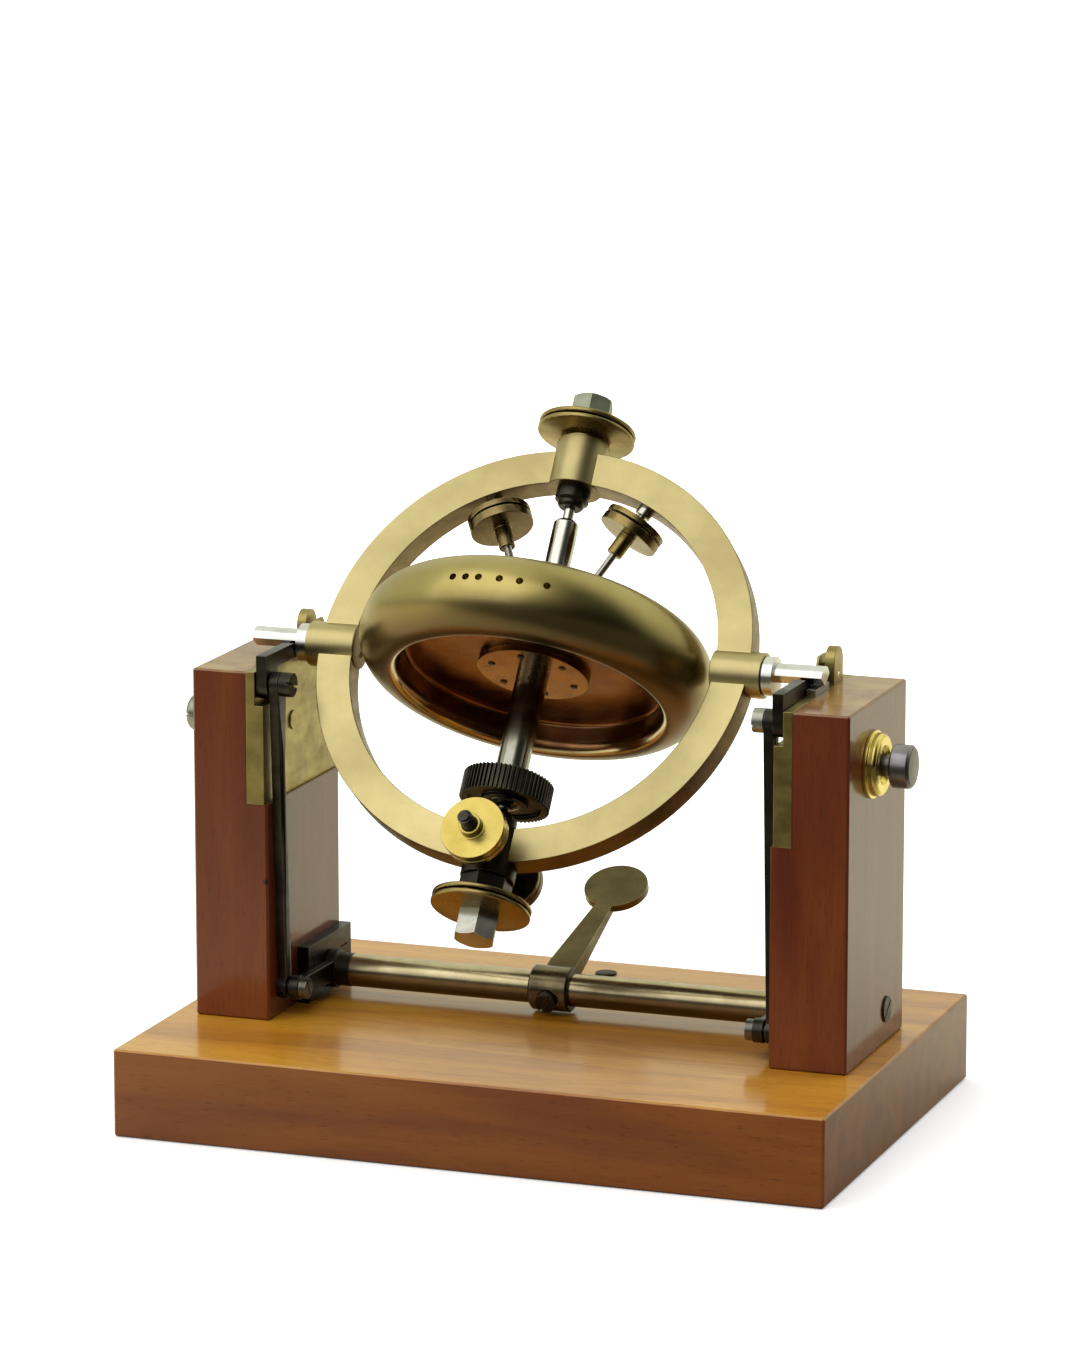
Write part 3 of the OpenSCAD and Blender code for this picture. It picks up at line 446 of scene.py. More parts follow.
def mix(tree, factor, first, second, mode="MIX"):
    """Mixes two colours, which may be plain or linked."""
    def as_colour(value):
        return value if isinstance(value, bpy.types.NodeSocket) else (*value, 1)
    return node_in(tree, "Mix", {0: factor, 6: as_colour(first), 7: as_colour(second)},
                   data_type="RGBA", blend_type=mode).outputs[2]


def sums(tree, operation, first, second):
    """One arithmetic step on two values."""
    return node_in(tree, "Math", {0: first, 1: second}, operation=operation).outputs[0]


trial = bpy.data.materials.new("Trial")
trial.use_nodes = True
total = sums(trial.node_tree, "ADD", 2.0, 3.0)
print("a sum of 2 and 3 is wired as:", [socket.default_value for socket in total.node.inputs[:2]])
bpy.data.materials.remove(trial)

# %% [markdown]
# ## Worn edges and bump
# Hands and cloths wear an edge first. The edge is found by comparing the true normal with one that a
# Bevel node rounds: where they differ, the surface is close to a sharp edge. A new finish is one
# Principled shader, and values that are even all over are set on the shader itself.

# %% Worn edges, new finish and bump
def worn_edges(tree, radius, strength=1.0):
    """A mask that is 1 along sharp edges, broken up so that the wear isn't even."""
    rounded = node_in(tree, "Bevel", {"Radius": radius}, samples=6).outputs[0]
    true = node_in(tree, "NewGeometry").outputs["Normal"]
    same = node_in(tree, "VectorMath", {0: rounded, 1: true}, operation="DOT_PRODUCT").outputs["Value"]
    broken = stretched_noise(tree, (160, 160, 160), detail=3)
    edge = span(tree, same, 0.90, 0.998, strength, 0.0)
    return sums(tree, "MULTIPLY", edge, span(tree, broken, 0.35, 0.6, 0.25, 1.0))


def new_finish(name, **sockets):
    """A material with its Principled shader, whose even values are set on the shader itself."""
    material = bpy.data.materials.new(name)
    material.use_nodes = True
    shader = material.node_tree.nodes["Principled BSDF"]
    for key, value in sockets.items():
        shader.inputs[key.replace("_", " ").title().replace("Ior", "IOR")].default_value = value
    return material, material.node_tree, shader


def put(tree, shader, **sources):
    """Links sources to the shader's inputs."""
    for key, source in sources.items():
        tree.links.new(source, shader.inputs[key.replace("_", " ").title()])


def bumps(tree, shader, height, distance, strength=1.0):
    """Turns a height into bump on the shader."""
    bump = node_in(tree, "Bump", {"Height": height, "Distance": distance, "Strength": strength})
    tree.links.new(bump.outputs[0], shader.inputs["Normal"])


trial, trial_tree = new_finish("Trial", roughness=0.5)[:2]
worn_edges(trial_tree, mm)
print("nodes that the worn edges add:", len(trial_tree.nodes) - plain_nodes)
bpy.data.materials.remove(trial)

# %% [markdown]
# ## Mahogany under varnish
# Both woods are the same timber in two tones. Three noises make the grain: broad soft bands that
# drift along it, fine fibres, and short dark pores. They are all stretched along the grain, so a face
# across it shows dots, as end grain does. Their sizes are a length along the grain and a width across
# it, in metres. Soft clouds vary the tone. The varnish is the shader's coat, over a slightly uneven
# surface, and the corners are rubbed darker by old handling. The faces that look up are multiplied by
# a tint that paints the light from above and the sheen of the varnish on them.

# %% Wood finishes
BAND, FIBRE, PORE = (0.16, 0.022), (0.030, 0.0011), (0.0070, 0.00055)
RUBBED_REACH = 1.6 * mm
NICK_CORE, NICK_REACH = 0.9 * mm, 1.4 * mm
NICK_COLOUR = (0.008, 0.005, 0.003)
VARNISH_WAVE = 0.06 * mm


def mahogany(name, tones, grain, seed, coat_roughness, painted_top_light, nick=None):
    """Varnished mahogany from (dark, middle, light) tones, with its grain along one axis, a tint that
    multiplies the faces that look up as painted light from above and painted varnish sheen, and perhaps a
    nick (its place)."""
    material, tree, shader = new_finish(name, roughness=0.5, specular_ior_level=0.15, coat_weight=0.9,
                                        coat_roughness=coat_roughness, coat_ior=1.5)

    def along(length, width):
        return tuple(1 / length if i == grain else 1 / width for i in range(3))

    bands = stretched_noise(tree, along(*BAND), detail=3, twist=0.8, offset=seed)
    fibres = stretched_noise(tree, along(*FIBRE), detail=5, rough=0.6, offset=seed * 2)
    pores = stretched_noise(tree, along(*PORE), detail=2, offset=seed * 3)
    clouds = stretched_noise(tree, (9, 9, 9), detail=2, offset=seed * 4)
    dark, middle, light = tones
    colour = ramp(tree, bands, (0.30, dark), (0.5, middle), (0.72, light))
    colour = mix(tree, span(tree, fibres, 0.3, 0.7, 0.0, 0.30), colour, dark)
    colour = mix(tree, span(tree, clouds, 0.35, 0.7, 0.0, 0.35), colour, middle)
    specks = span(tree, pores, 0.60, 0.70, 0.0, 0.55)
    colour = mix(tree, specks, colour, tuple(0.4 * part for part in dark))
    rubbed = worn_edges(tree, RUBBED_REACH, 0.5)
    colour = mix(tree, rubbed, colour, tuple(0.5 * part for part in dark))
    # Painted light: the faces that look up are multiplied by a tint for the light from above and the varnish's
    # sheen.
    facing = node_in(tree, "SeparateXYZ", {0: node_in(tree, "NewGeometry").outputs["Normal"]}).outputs[2]
    colour = mix(tree, span(tree, facing, 0.4, 0.9, 0.0, 1.0), colour, painted_top_light, "MULTIPLY")
    if nick:
        apart = node_in(tree, "VectorMath", {0: node_in(tree, "TexCoord").outputs["Object"], 1: nick},
                        operation="DISTANCE").outputs["Value"]
        colour = mix(tree, span(tree, apart, NICK_CORE, NICK_REACH, 0.9, 0.0), colour, NICK_COLOUR)
    put(tree, shader, base_color=colour)
    flow = stretched_noise(tree, (60, 60, 60), detail=2, offset=seed * 5)
    height = sums(tree, "ADD", sums(tree, "MULTIPLY", flow, 1.6), sums(tree, "MULTIPLY", specks, -0.25))
    bumps(tree, shader, height, VARNISH_WAVE, 0.5)
    return material


ALONG_X, UPRIGHT = 0, 2
board_tones = ((0.17, 0.036, 0.004), (0.28, 0.072, 0.006), (0.35, 0.110, 0.013))
pillar_tones = ((0.11, 0.016, 0.003), (0.18, 0.033, 0.004), (0.24, 0.062, 0.009))
nick_place = (-108.3 * mm, -39.3 * mm, 95.1 * mm)
# The last tint of each wood is the painted light and sheen on the faces that look up.
board_wood = mahogany("Board mahogany", board_tones, ALONG_X, 1.3, 0.16, (2.1, 3.5, 2.4))
pillar_wood = mahogany("Pillar mahogany", pillar_tones, UPRIGHT, 4.1, 0.14, (1.7, 4.2, 5.5), nick_place)
print("wood finishes:", board_wood.name, "and", pillar_wood.name)

# %% [markdown]
# ## Brass, bronze and steel
# Bare metal is a metallic shader whose base colour is the tint of its reflections. What makes it old
# is variation: clouds of tarnish change the tint a little, dust and handling change the roughness,
# and edges that hands and cloths reach are brighter, which is partly wear and partly a painted
# highlight along the edge. Turned pieces also carry the fine rings of the lathe tool. These depend only
# on the distance from the turning axis and the height along it, so the pattern is built on those two
# numbers in the piece's own frame.

# %% Tool marks
TOOL_PITCH = 0.5 * mm


def in_frame(tree, place):
    """Object coordinates as seen in a frame, split into its three axes."""
    back = place.inverted()
    where = node_in(tree, "TexCoord").outputs["Object"]
    local = node_in(tree, "Mapping", {"Vector": where, "Location": back.to_translation(),
                                      "Rotation": back.to_euler()}).outputs[0]
    return node_in(tree, "SeparateXYZ", {0: local})


def lathe_marks(tree, place, pitch):
    """A fine ripple that runs round the turning axis of a piece."""
    split = in_frame(tree, place)
    flat = node_in(tree, "CombineXYZ", {0: split.outputs[0], 1: split.outputs[1]}).outputs[0]
    radius = node_in(tree, "VectorMath", {0: flat}, operation="LENGTH").outputs["Value"]
    rings = node_in(tree, "CombineXYZ", {0: radius, 1: split.outputs[2]}).outputs[0]
    fine = node_in(tree, "VectorMath", {0: rings, 1: (1 / pitch,) * 3}, operation="MULTIPLY").outputs[0]
    return node_in(tree, "TexNoise", {"Vector": fine, "Scale": 1.0, "Detail": 3.0}).outputs[0]


print("width of a tool mark (mm):", TOOL_PITCH / mm)

# %% [markdown]
# ## One recipe for every metal
# One function makes them all, from a bright and a dull tint and a roughness. Pieces that have a
# turning axis get lathe marks, and the others get fine filing scratches. Some are painted darker
# beneath, as painted shade and reflection, so a darker tint can grow downwards along an axis.

# %% Metal
SPECKS = (900, 900, 900)
SMEARS = (70, 70, 200)
SCRATCHES = (2600, 260, 900)
SCRATCH_DEPTH, TOOL_DEPTH = 0.012 * mm, 0.010 * mm
WORN_REACH = 0.6 * mm


def metal(name, bright, dull, roughness, place=None, cloud=0.014, specks=0.35, wear=0.0, marks=0.6,
          edge=None, uneven=0.25, painted_under_shade=None):
    """Aged metal: tarnish clouds, small specks, uneven polish, tool marks, and edges rubbed bright, partly by
    wear and partly as a painted highlight. The last argument is a darker tint of painted shade that grows
    downwards: (fully dark at, none from, colour, perhaps another frame)."""
    material, tree, shader = new_finish(name, metallic=1.0)
    patches = stretched_noise(tree, (1 / cloud,) * 3, detail=5, rough=0.6, offset=len(name))
    small = stretched_noise(tree, SPECKS, detail=3, offset=len(name) * 2)
    smears = stretched_noise(tree, SMEARS, detail=4, rough=0.65, offset=len(name) * 3)
    colour = ramp(tree, patches, (0.34, dull), (0.66, bright))
    dark = tuple(0.45 * part for part in dull)
    colour = mix(tree, span(tree, small, 0.62, 0.74, 0.0, specks), colour, dark)
    # Painted shade: a darker tint grows downwards along an axis.
    if painted_under_shade:
        height = in_frame(tree, painted_under_shade[3] if len(painted_under_shade) > 3 else place).outputs[2]
        colour = mix(tree, span(tree, height, painted_under_shade[0], painted_under_shade[1], 0.85, 0.0), colour, painted_under_shade[2])
    rough = span(tree, smears, 0.3, 0.7, roughness * (1 - uneven), roughness * (1 + uneven))
    # Edges get a brighter tint: partly wear, partly a painted highlight along the edge.
    if wear:
        worn_and_highlit = worn_edges(tree, WORN_REACH, wear)
        colour = mix(tree, worn_and_highlit, colour, edge or tuple(min(1.0, 1.35 * part) for part in bright))
        rough = sums(tree, "SUBTRACT", rough, sums(tree, "MULTIPLY", worn_and_highlit, 0.08))
    put(tree, shader, base_color=colour, roughness=rough)
    if place is None:
        scratch = stretched_noise(tree, SCRATCHES, detail=4, twist=1.5, offset=len(name))
        bumps(tree, shader, scratch, SCRATCH_DEPTH, marks)
    else:
        bumps(tree, shader, lathe_marks(tree, place, TOOL_PITCH), TOOL_DEPTH, marks)
    return material


print("specks are about as wide as (mm):", round(1 / SPECKS[0] / mm, 1))

# %% [markdown]
# ## The finishes
# The brass of the ring is pale and even, the rotor's bronze is deeper and painted darker on its lower
# side, and the small brass discs are browner. The cranks, links and levers are blackened steel, the
# paddle is dark bronze, and the cross shaft is bright bronze with painted shade on its lower half. Of
# the steel, the trunnions, the axle and the hexagons are the brightest. The tints are the colours of
# reflections, so they are set lighter than the metal looks in a dark room.

# %% Metal finishes
shaft_level = Matrix.Translation(joints["shaft_turn"]["pos_m"])
cross_shaft_frame = x_frame(*joints["shaft_turn"]["pos_m"][1:])
bolt_frame = x_frame(*joints["clamp_turn"]["pos_m"][1:])
trunnion_frame = x_frame(ring_centre.y, ring_centre.z)

ring_brass = metal("Ring brass", (0.57, 0.475, 0.25), (0.38, 0.31, 0.155), 0.36, cloud=0.08, specks=0.18,
                   wear=0.35, marks=0.7, uneven=0.08)
# Painted shade: a darker copy of the ring brass for the hoop's sides and the bosses' inner ends.
ring_side_shade = metal("Ring side brass", (0.26, 0.185, 0.09), (0.17, 0.115, 0.055), 0.34, wear=0.3)
# Painted shade and reflection: the rotor's bronze darkens on its lower side, down the axle.
rotor_bronze = metal("Rotor bronze", (0.46, 0.37, 0.15), (0.38, 0.30, 0.11), 0.30, in_ring,
                     cloud=0.03, specks=0.10, marks=0.3, uneven=0.07,
                     painted_under_shade=(-15 * mm, -2 * mm, (0.15, 0.095, 0.05)))
# Painted shade with a reddish painted reflection for the recess, and a painted highlight for the lip.
recess_shade_bronze = metal("Recess bronze", (0.30, 0.15, 0.065), (0.17, 0.075, 0.035), 0.22, in_ring, specks=0.3)
lip_highlight_bronze = metal("Lip bronze", (0.62, 0.54, 0.34), (0.42, 0.35, 0.20), 0.16, in_ring, specks=0.2)
disc_brass = metal("Lock disc brass", (0.40, 0.31, 0.13), (0.26, 0.19, 0.07), 0.30, in_ring, wear=0.7,
                   edge=(0.74, 0.62, 0.31))
plate_brass = metal("Plate brass", (0.44, 0.35, 0.135), (0.27, 0.21, 0.075), 0.38, wear=0.5)
bracket_bronze = metal("Bracket bronze", (0.050, 0.040, 0.028), (0.026, 0.020, 0.015), 0.36, wear=0.5,
                       edge=(0.26, 0.22, 0.14))
# Painted shade: the cross shaft's bronze darkens on its lower half.
shaft_bronze = metal("Shaft bronze", (0.60, 0.51, 0.34), (0.42, 0.35, 0.21), 0.24, cross_shaft_frame,
                     specks=0.3, marks=0.3, uneven=0.10,
                     painted_under_shade=(-2 * mm, 3.5 * mm, (0.09, 0.07, 0.045), shaft_level))
collar_bronze = metal("Collar bronze", (0.24, 0.20, 0.125), (0.12, 0.095, 0.06), 0.28, cross_shaft_frame,
                      specks=0.5, wear=0.6, edge=(0.60, 0.50, 0.30))
paddle_bronze = metal("Paddle bronze", (0.16, 0.125, 0.055), (0.10, 0.075, 0.033), 0.36, specks=0.5,
                      wear=0.5, edge=(0.55, 0.46, 0.26))
bright_brass = metal("Bright brass", (0.96, 0.79, 0.25), (0.80, 0.62, 0.17), 0.20, bolt_frame,
                     specks=0.2, wear=0.5)
white_steel = metal("Polished steel", (0.86, 0.86, 0.92), (0.66, 0.66, 0.66), 0.22, trunnion_frame,
                    specks=0.35, wear=0.3)
axle_steel = metal("Axle steel", (0.70, 0.69, 0.70), (0.50, 0.49, 0.47), 0.16, in_ring, specks=0.3)
hexagon_steel = metal("Hexagon steel", (0.46, 0.45, 0.44), (0.28, 0.27, 0.25), 0.20, wear=0.6,
                      edge=(0.80, 0.78, 0.74))
grey_steel = metal("Grey steel", (0.40, 0.40, 0.38), (0.25, 0.25, 0.22), 0.34, wear=0.6,
                   edge=(0.68, 0.68, 0.63))
dark_steel = metal("Dark steel", (0.17, 0.16, 0.15), (0.09, 0.085, 0.075), 0.30, wear=0.7,
                   edge=(0.55, 0.53, 0.48))
knob_steel = metal("Knob steel", (0.33, 0.30, 0.34), (0.20, 0.18, 0.205), 0.28, bolt_frame, wear=0.7,
                   edge=(0.50, 0.48, 0.50))
black_steel = metal("Blackened steel", (0.060, 0.055, 0.048), (0.028, 0.025, 0.022), 0.36, wear=0.55,
                    edge=(0.26, 0.225, 0.17))
print("finishes:", len(bpy.data.materials))

# %% [markdown]
# ## Brass of the balance weights
# The four weights are brass, and each tint paints the light and shade that it gets: the front one is
# painted brightest and the rear one, in shadow, darkest. Each was turned about its own rod, so its tool
# marks need that rod's frame.

# %% Finish of each weight
def weight_brass(name, side, bright, dull):
    """Brass turned about one balance rod."""
    return metal(name, bright, dull, 0.27, rod_frames[side], wear=0.6, edge=(0.86, 0.74, 0.40))


# Painted light and shade: one brass, toned lighter or darker by how light falls on each weight.
weight_light_and_shade = {
    "left": weight_brass("Left weight brass", "left", (0.26, 0.19, 0.09), (0.16, 0.11, 0.05)),
    "right": weight_brass("Right weight brass", "right", (0.30, 0.22, 0.085), (0.18, 0.125, 0.045)),
    "front": weight_brass("Front weight brass", "front", (0.54, 0.42, 0.13), (0.44, 0.33, 0.085)),
    "rear": weight_brass("Rear weight brass", "rear", (0.15, 0.115, 0.06), (0.08, 0.06, 0.035)),
}
print("finishes with those of the weights:", len(bpy.data.materials))

# %% [markdown]
# ## The board and the pillars
# These are sawn and planed blocks with softly broken corners. They could be modelled again from boxes,
# but the CAD mesh already has the right outline and the screw holes, so an eased copy is enough: the
# bevel gives each corner a small round that catches a line of light.

# %% Woodwork
SIDES = ("left", "right")
board_round = 0.45 * mm
pillar_round = 0.4 * mm
finish_piece("board", eased_copy("base_board", board_round), board_wood, "base_board")
for side in SIDES:
    finish_piece(side + "_pillar_wood", eased_copy(side + "_pillar", pillar_round), pillar_wood,
                 side + "_pillar")
print("wooden pieces:", len(made))

# %% [markdown]
# ## Flat metalwork
# Plates, beds, forks, brackets, cranks, links and levers were all filed from flat stock. Each gets an
# eased copy with a radius that suits its size, and the finish of its kind. The collar on the cross
# shaft is bright where it was turned and black on its ends, so its faces choose by the way they point.

# %% Flat pieces
flat_pieces = {
    "bearing_plate": (0.25 * mm, plate_brass),
    "bed": (0.12 * mm, grey_steel),
    "clevis": (0.25 * mm, plate_brass),
    "shaft_bracket": (0.3 * mm, bracket_bronze),
    "crank": (0.35 * mm, black_steel),
    "link": (0.3 * mm, black_steel),
    "lift_lever": (0.3 * mm, black_steel),
}
paddle_round = 0.3 * mm
collar_round = 0.2 * mm
for side in SIDES:
    for kind, (radius, finish) in flat_pieces.items():
        node = f"{side}_{kind}"
        finish_piece(node + "_filed", eased_copy(node, radius), finish, node)
finish_piece("paddle", eased_copy("paddle_lever", paddle_round), paddle_bronze, "paddle_lever")
collar = eased_copy("shaft_hub", collar_round)
choose_finish(collar, lambda face: 1 if abs(face.normal.x) > 0.3 else 0)
finish_piece("hub_collar", collar, [collar_bronze, black_steel], "shaft_hub")
print("pieces after the flat metalwork:", len(made))

# %% [markdown]
# ## The ring
# The ring is one casting: a square-edged hoop with four bosses. The hoop is turned about the ring's
# own axis, which points to the front, and the bosses are turned about the trunnion line and the
# axle. The faces were machined bright, while the inner and outer sides and the inner ends of the
# bosses are painted darker as shade, and the lower boss is painted near black as deep shade. The
# casting carries three finishes, and each face picks one.

# %% Ring
hoop_half = 6.15 * mm
hoop_inner = 77.4 * mm
hoop_outer = 92.0 * mm
hoop_ease = 0.55 * mm
boss_inner = 76.5 * mm
boss_outer = extent("gimbal_ring", in_ring)[1].x
boss_ease = 0.4 * mm
trunnion_boss = 9.35 * mm
trunnion_bore = 4.55 * mm
axle_boss = 11.1 * mm
axle_bore = 5.4 * mm
BRIGHT, SHADED_SIDE, SHADED_BOSS = 0, 1, 2


def tube(inner, outer, low, high, ease, steps=96):
    """A turned tube with eased rims."""
    return lathe([(inner, low), (outer, low), (outer, high), (inner, high)], ease, steps)


def ring_boss(turn, radius, bore):
    """One boss of the ring, turned upright and swung to its place. The lower one is painted near black as shade.
    """
    boss = tube(bore, radius, boss_inner, boss_outer, boss_ease, 72)
    inner_end = boss_inner + 0.5 * mm
    # Painted shade: the lower boss takes a near-black finish, and the inner ends of the others a darker one.
    choose_finish(boss, lambda face: SHADED_BOSS if turn == 180
                  else SHADED_SIDE if face.calc_center_median().z < inner_end else BRIGHT)
    return turned(boss, turn, "Y")


hoop = tube(hoop_inner, hoop_outer, -hoop_half, hoop_half, hoop_ease, 192)
# Painted shade: the inner and outer sides of the hoop take the darker copy of the brass.
choose_finish(hoop, lambda face: BRIGHT if abs(face.normal.z) > 0.5 else SHADED_SIDE)
turned(hoop, 90, "X")
bosses = [ring_boss(turn, trunnion_boss, trunnion_bore) for turn in (90, -90)]
bosses += [ring_boss(turn, axle_boss, axle_bore) for turn in (0, 180)]
finish_piece("ring_casting", join(hoop, *bosses), [ring_brass, ring_side_shade, bracket_bronze],
             "gimbal_ring", in_ring)
print("ring across (mm):", round(2 * hoop_outer / mm, 1))

# %% [markdown]
# ## The rotor
# The rotor is the heart of the instrument: a fat bronze rim, full and round outside, with a recess
# on both sides down to a thin web. Its section is an outer half ellipse, a small inner curve and a
# straight wall. Only the upper half is drawn, and the lower one mirrors it.

# %% Section of the rotor
rotor_radius = extent("rotor_wheel", in_ring)[1].x
rim_half = extent("rotor_wheel", in_ring)[1].z
web_half = 4 * mm
opening = 54 * mm
rim_round = 15 * mm
lip = rotor_radius - rim_round - opening
lip_height = 1.5 * lip
axle_radius = 6.6 * mm
corner_fillet = 2.0 * mm


def rotor_section():
    """Upper half of the rotor's section, from the axle out and round the rim to its widest point."""
    inner = (rotor_radius - rim_round, rim_half - lip_height)
    fillet = arc((opening - corner_fillet, web_half + corner_fillet), corner_fillet, corner_fillet,
                 -90, 0, 5)
    return ([(axle_radius, web_half)] + fillet + arc(inner, lip, lip_height, 180, 90, 12)
            + arc((inner[0], 0), rim_round, rim_half, 90, 0, 32)[1:])


upper_half = rotor_section()
lower_half = [(radius, -height) for radius, height in reversed(upper_half[:-1])]
print("points in the rotor's section:", len(upper_half + lower_half))

# %% [markdown]
# ## Spinning and drilling the rotor
# A high step count keeps the reflections smooth. The six balancing holes are drilled into the rim with
# an exact boolean. The recess is painted darker than the rim, as shade with a reddish painted
# reflection, and a painted highlight runs along the narrow lip between them. Each face picks its
# finish by its distance from the axle.

# %% Rotor
rotor_steps = 240
hole_angles = (-11.5, -7, -2.6, 4.3, 10.8, 19.5)
hole_radius = 1.5 * mm
hole_height = 1.5 * mm
drill_length = 12 * mm
RIM, RECESS, LIP = 0, 1, 2


def drill(angle):
    """A short bar that points at the axle from outside the rim, at an angle from the front."""
    bar = bmesh.new()
    place = (Matrix.Rotation(math.radians(angle - 90), 4, "Z")
             @ Matrix.Translation((rotor_radius, 0, hole_height))
             @ Matrix.Rotation(math.radians(90), 4, "Y"))
    bmesh.ops.create_cone(bar, cap_ends=True, segments=24, radius1=hole_radius, radius2=hole_radius,
                          depth=drill_length, matrix=place)
    return bar


def rim_finish(face):
    """The finish of a face of the rotor by its distance from the axle."""
    spot = face.calc_center_median()
    out = math.hypot(spot.x, spot.y)
    return RECESS if out < opening + 0.3 * lip else LIP if out < opening + 0.7 * lip else RIM


blank = lathe(upper_half + lower_half, steps=rotor_steps)
wheel = cut(blank, join(*[drill(angle) for angle in hole_angles]))
# Painted shade on the recess faces and a painted highlight on the lip faces.
choose_finish(wheel, rim_finish)
finish_piece("rotor_rim", wheel, [rotor_bronze, recess_shade_bronze, lip_highlight_bronze],
             ["rotor_wheel", "rotor_web"], in_ring, smooth=50)
print("rotor across (mm):", round(2 * rotor_radius / mm, 1), "holes:", len(hole_angles))

# %% [markdown]
# ## Hub flanges
# A round flange is screwed to the web on each side. Its warm bronze and its bright edge, partly wear
# and partly a painted highlight, set it off from the recess. Both are the same turned disc, and the
# lower one is turned over.

# %% Hub flanges
flange_radius = extent("upper_hub_flange", in_ring)[1].x
flange_top = extent("upper_hub_flange", in_ring)[1].z
flange_ease = 0.35 * mm
# The edge tint is partly wear and partly a painted highlight along the rim.
flange_bronze = metal("Flange bronze", (0.42, 0.25, 0.10), (0.28, 0.15, 0.055), 0.24, in_ring, wear=0.9,
                      edge=(0.95, 0.74, 0.26))
for name, side in (("upper_hub_flange", 1), ("lower_hub_flange", -1)):
    flange = tube(axle_radius, flange_radius, web_half, flange_top, flange_ease, 96)
    if side < 0:
        turned(flange, 180, "X")
    finish_piece(name + "_turned", flange, flange_bronze, name, in_ring)
print("flanges across (mm):", round(2 * flange_radius / mm, 1))

# %% [markdown]
# ## Screws of the flanges
# The screw heads are a small function of their own, because many later pieces need one: a flat or
# domed head with a slot that is cut by a block. Six heads sit on each flange, and their slots stop at
# different angles, as real ones do.

# %% Flange screws
flange_screws = 6
screw_ring = flange_radius * 0.76
screw_head_radius = 1.5 * mm
screw_head_sunk = 0.8 * mm
screw_head_proud = 0.4 * mm
screw_slot = 0.45 * mm
first_screw = 30
slot_step = 37


def slotted_head(radius, low, high, slot, dome=0.0, turn=0.0, steps=32):
    """A screw head with a slot: flat, or domed by a height."""
    if dome:
        section = [(0, low), (radius, low), (radius, high - dome)]
        section += arc((0, high - dome), radius, dome, 0, 90, 8)[1:]
        bm = lathe(section, steps=steps)
    else:
        bm = rod(radius, low, high, 0.12 * mm, steps)
    deep = 0.35 * (high - low) + dome
    cutter = block((-2 * radius, -slot / 2, high - deep), (2 * radius, slot / 2, high + radius))
    return cut(bm, turned(cutter, turn, "Z"))


heads = []
for flip in (0, 180):
    for i in range(flange_screws):
        head = slotted_head(screw_head_radius, flange_top - screw_head_sunk, flange_top + screw_head_proud,
                            screw_slot, turn=slot_step * i)
        bmesh.ops.translate(head, vec=(screw_ring, 0, 0), verts=head.verts)
        heads.append(turned(turned(head, 360 / flange_screws * i + first_screw, "Z"), flip, "X"))
finish_piece("flange_screw_heads", join(*heads), black_steel, "hub_flange_screws", in_ring)
print("flange screw heads:", len(heads))

# %% [markdown]
# ## The axle and its gear
# The axle is one turned bar of polished steel. Below the rotor, where the driving gear is pressed on,
# its steel is painted darker as shade, so the two stretches take different finishes. The gear keeps its
# CAD teeth with their corners just broken.

# %% Axle and gear
axle_low, axle_high = extent("rotor_axle", in_ring)
gear_end = extent("drive_gear", in_ring)[0].z
upper_radius = 5.35 * mm
pivot_radius = 2.25 * mm
shoulder = 62.4 * mm
shoulder_cone = (1.2 * mm, 1.4 * mm)
gear_collar = 1.4 * mm
gear_cone = 1.6 * mm
axle_section = [(0, axle_high.z), (pivot_radius, axle_high.z), (pivot_radius, shoulder),
                (upper_radius - shoulder_cone[0], shoulder), (upper_radius, shoulder - shoulder_cone[1]),
                (upper_radius, flange_top), (axle_radius, flange_top), (axle_radius, gear_end),
                (pivot_radius + gear_collar, gear_end - gear_cone), (pivot_radius, gear_end - gear_cone),
                (pivot_radius, axle_low.z), (0, axle_low.z)]
bar = lathe(axle_section, 0.2 * mm, 72)
# Painted shade: the stretch below the rotor takes the darker copy of the axle steel.
choose_finish(bar, lambda face: 1 if face.calc_center_median().z < 0 else 0)
lower_axle_shade = metal("Lower axle steel", (0.40, 0.39, 0.35), (0.28, 0.27, 0.24), 0.15, in_ring, specks=0.2,
                  marks=0.25, uneven=0.1)
finish_piece("axle", bar, [axle_steel, lower_axle_shade], "rotor_axle", in_ring)
tooth_round = 0.12 * mm
tooth_angle = math.radians(40)
finish_piece("gear", eased_copy("drive_gear", tooth_round, 1, tooth_angle), black_steel, "drive_gear")
print("axle length (mm):", round((axle_high.z - axle_low.z) / mm, 1))

# %% [markdown]
# ## Bearing bushes
# A black bush with a stepped nose fills each axle boss. The lower half of the ring mirrors the upper
# one, so each piece is made upright and carried by one of two frames. The bore leaves the axle's pivot
# a running fit.

# %% Bearing bushes
upright = {"upper": in_ring, "lower": in_ring @ Matrix.Rotation(math.pi, 4, "X")}
running_fit = 0.05 * mm
nose_radius = 7 * mm
nose_step = 1.6 * mm
nose_tip = pivot_radius + 2.2 * mm
nose_heights = (1.0 * mm, 2.4 * mm, 3.2 * mm)
for half, place in upright.items():
    low, high = extent(f"{half}_bearing_bush", place)
    tip, step, foot = (low.z + height for height in nose_heights)
    nose = [(pivot_radius + running_fit, low.z), (nose_tip, low.z), (nose_radius - nose_step, tip),
            (nose_radius - nose_step, step), (nose_radius, foot), (nose_radius, boss_inner),
            (axle_bore, boss_inner), (axle_bore, high.z), (pivot_radius + running_fit, high.z)]
    finish_piece(half + "_bush", lathe(nose, 0.25 * mm, 72), black_steel, f"{half}_bearing_bush", place)
print("bush noses across (mm):", round(2 * nose_radius / mm, 1))

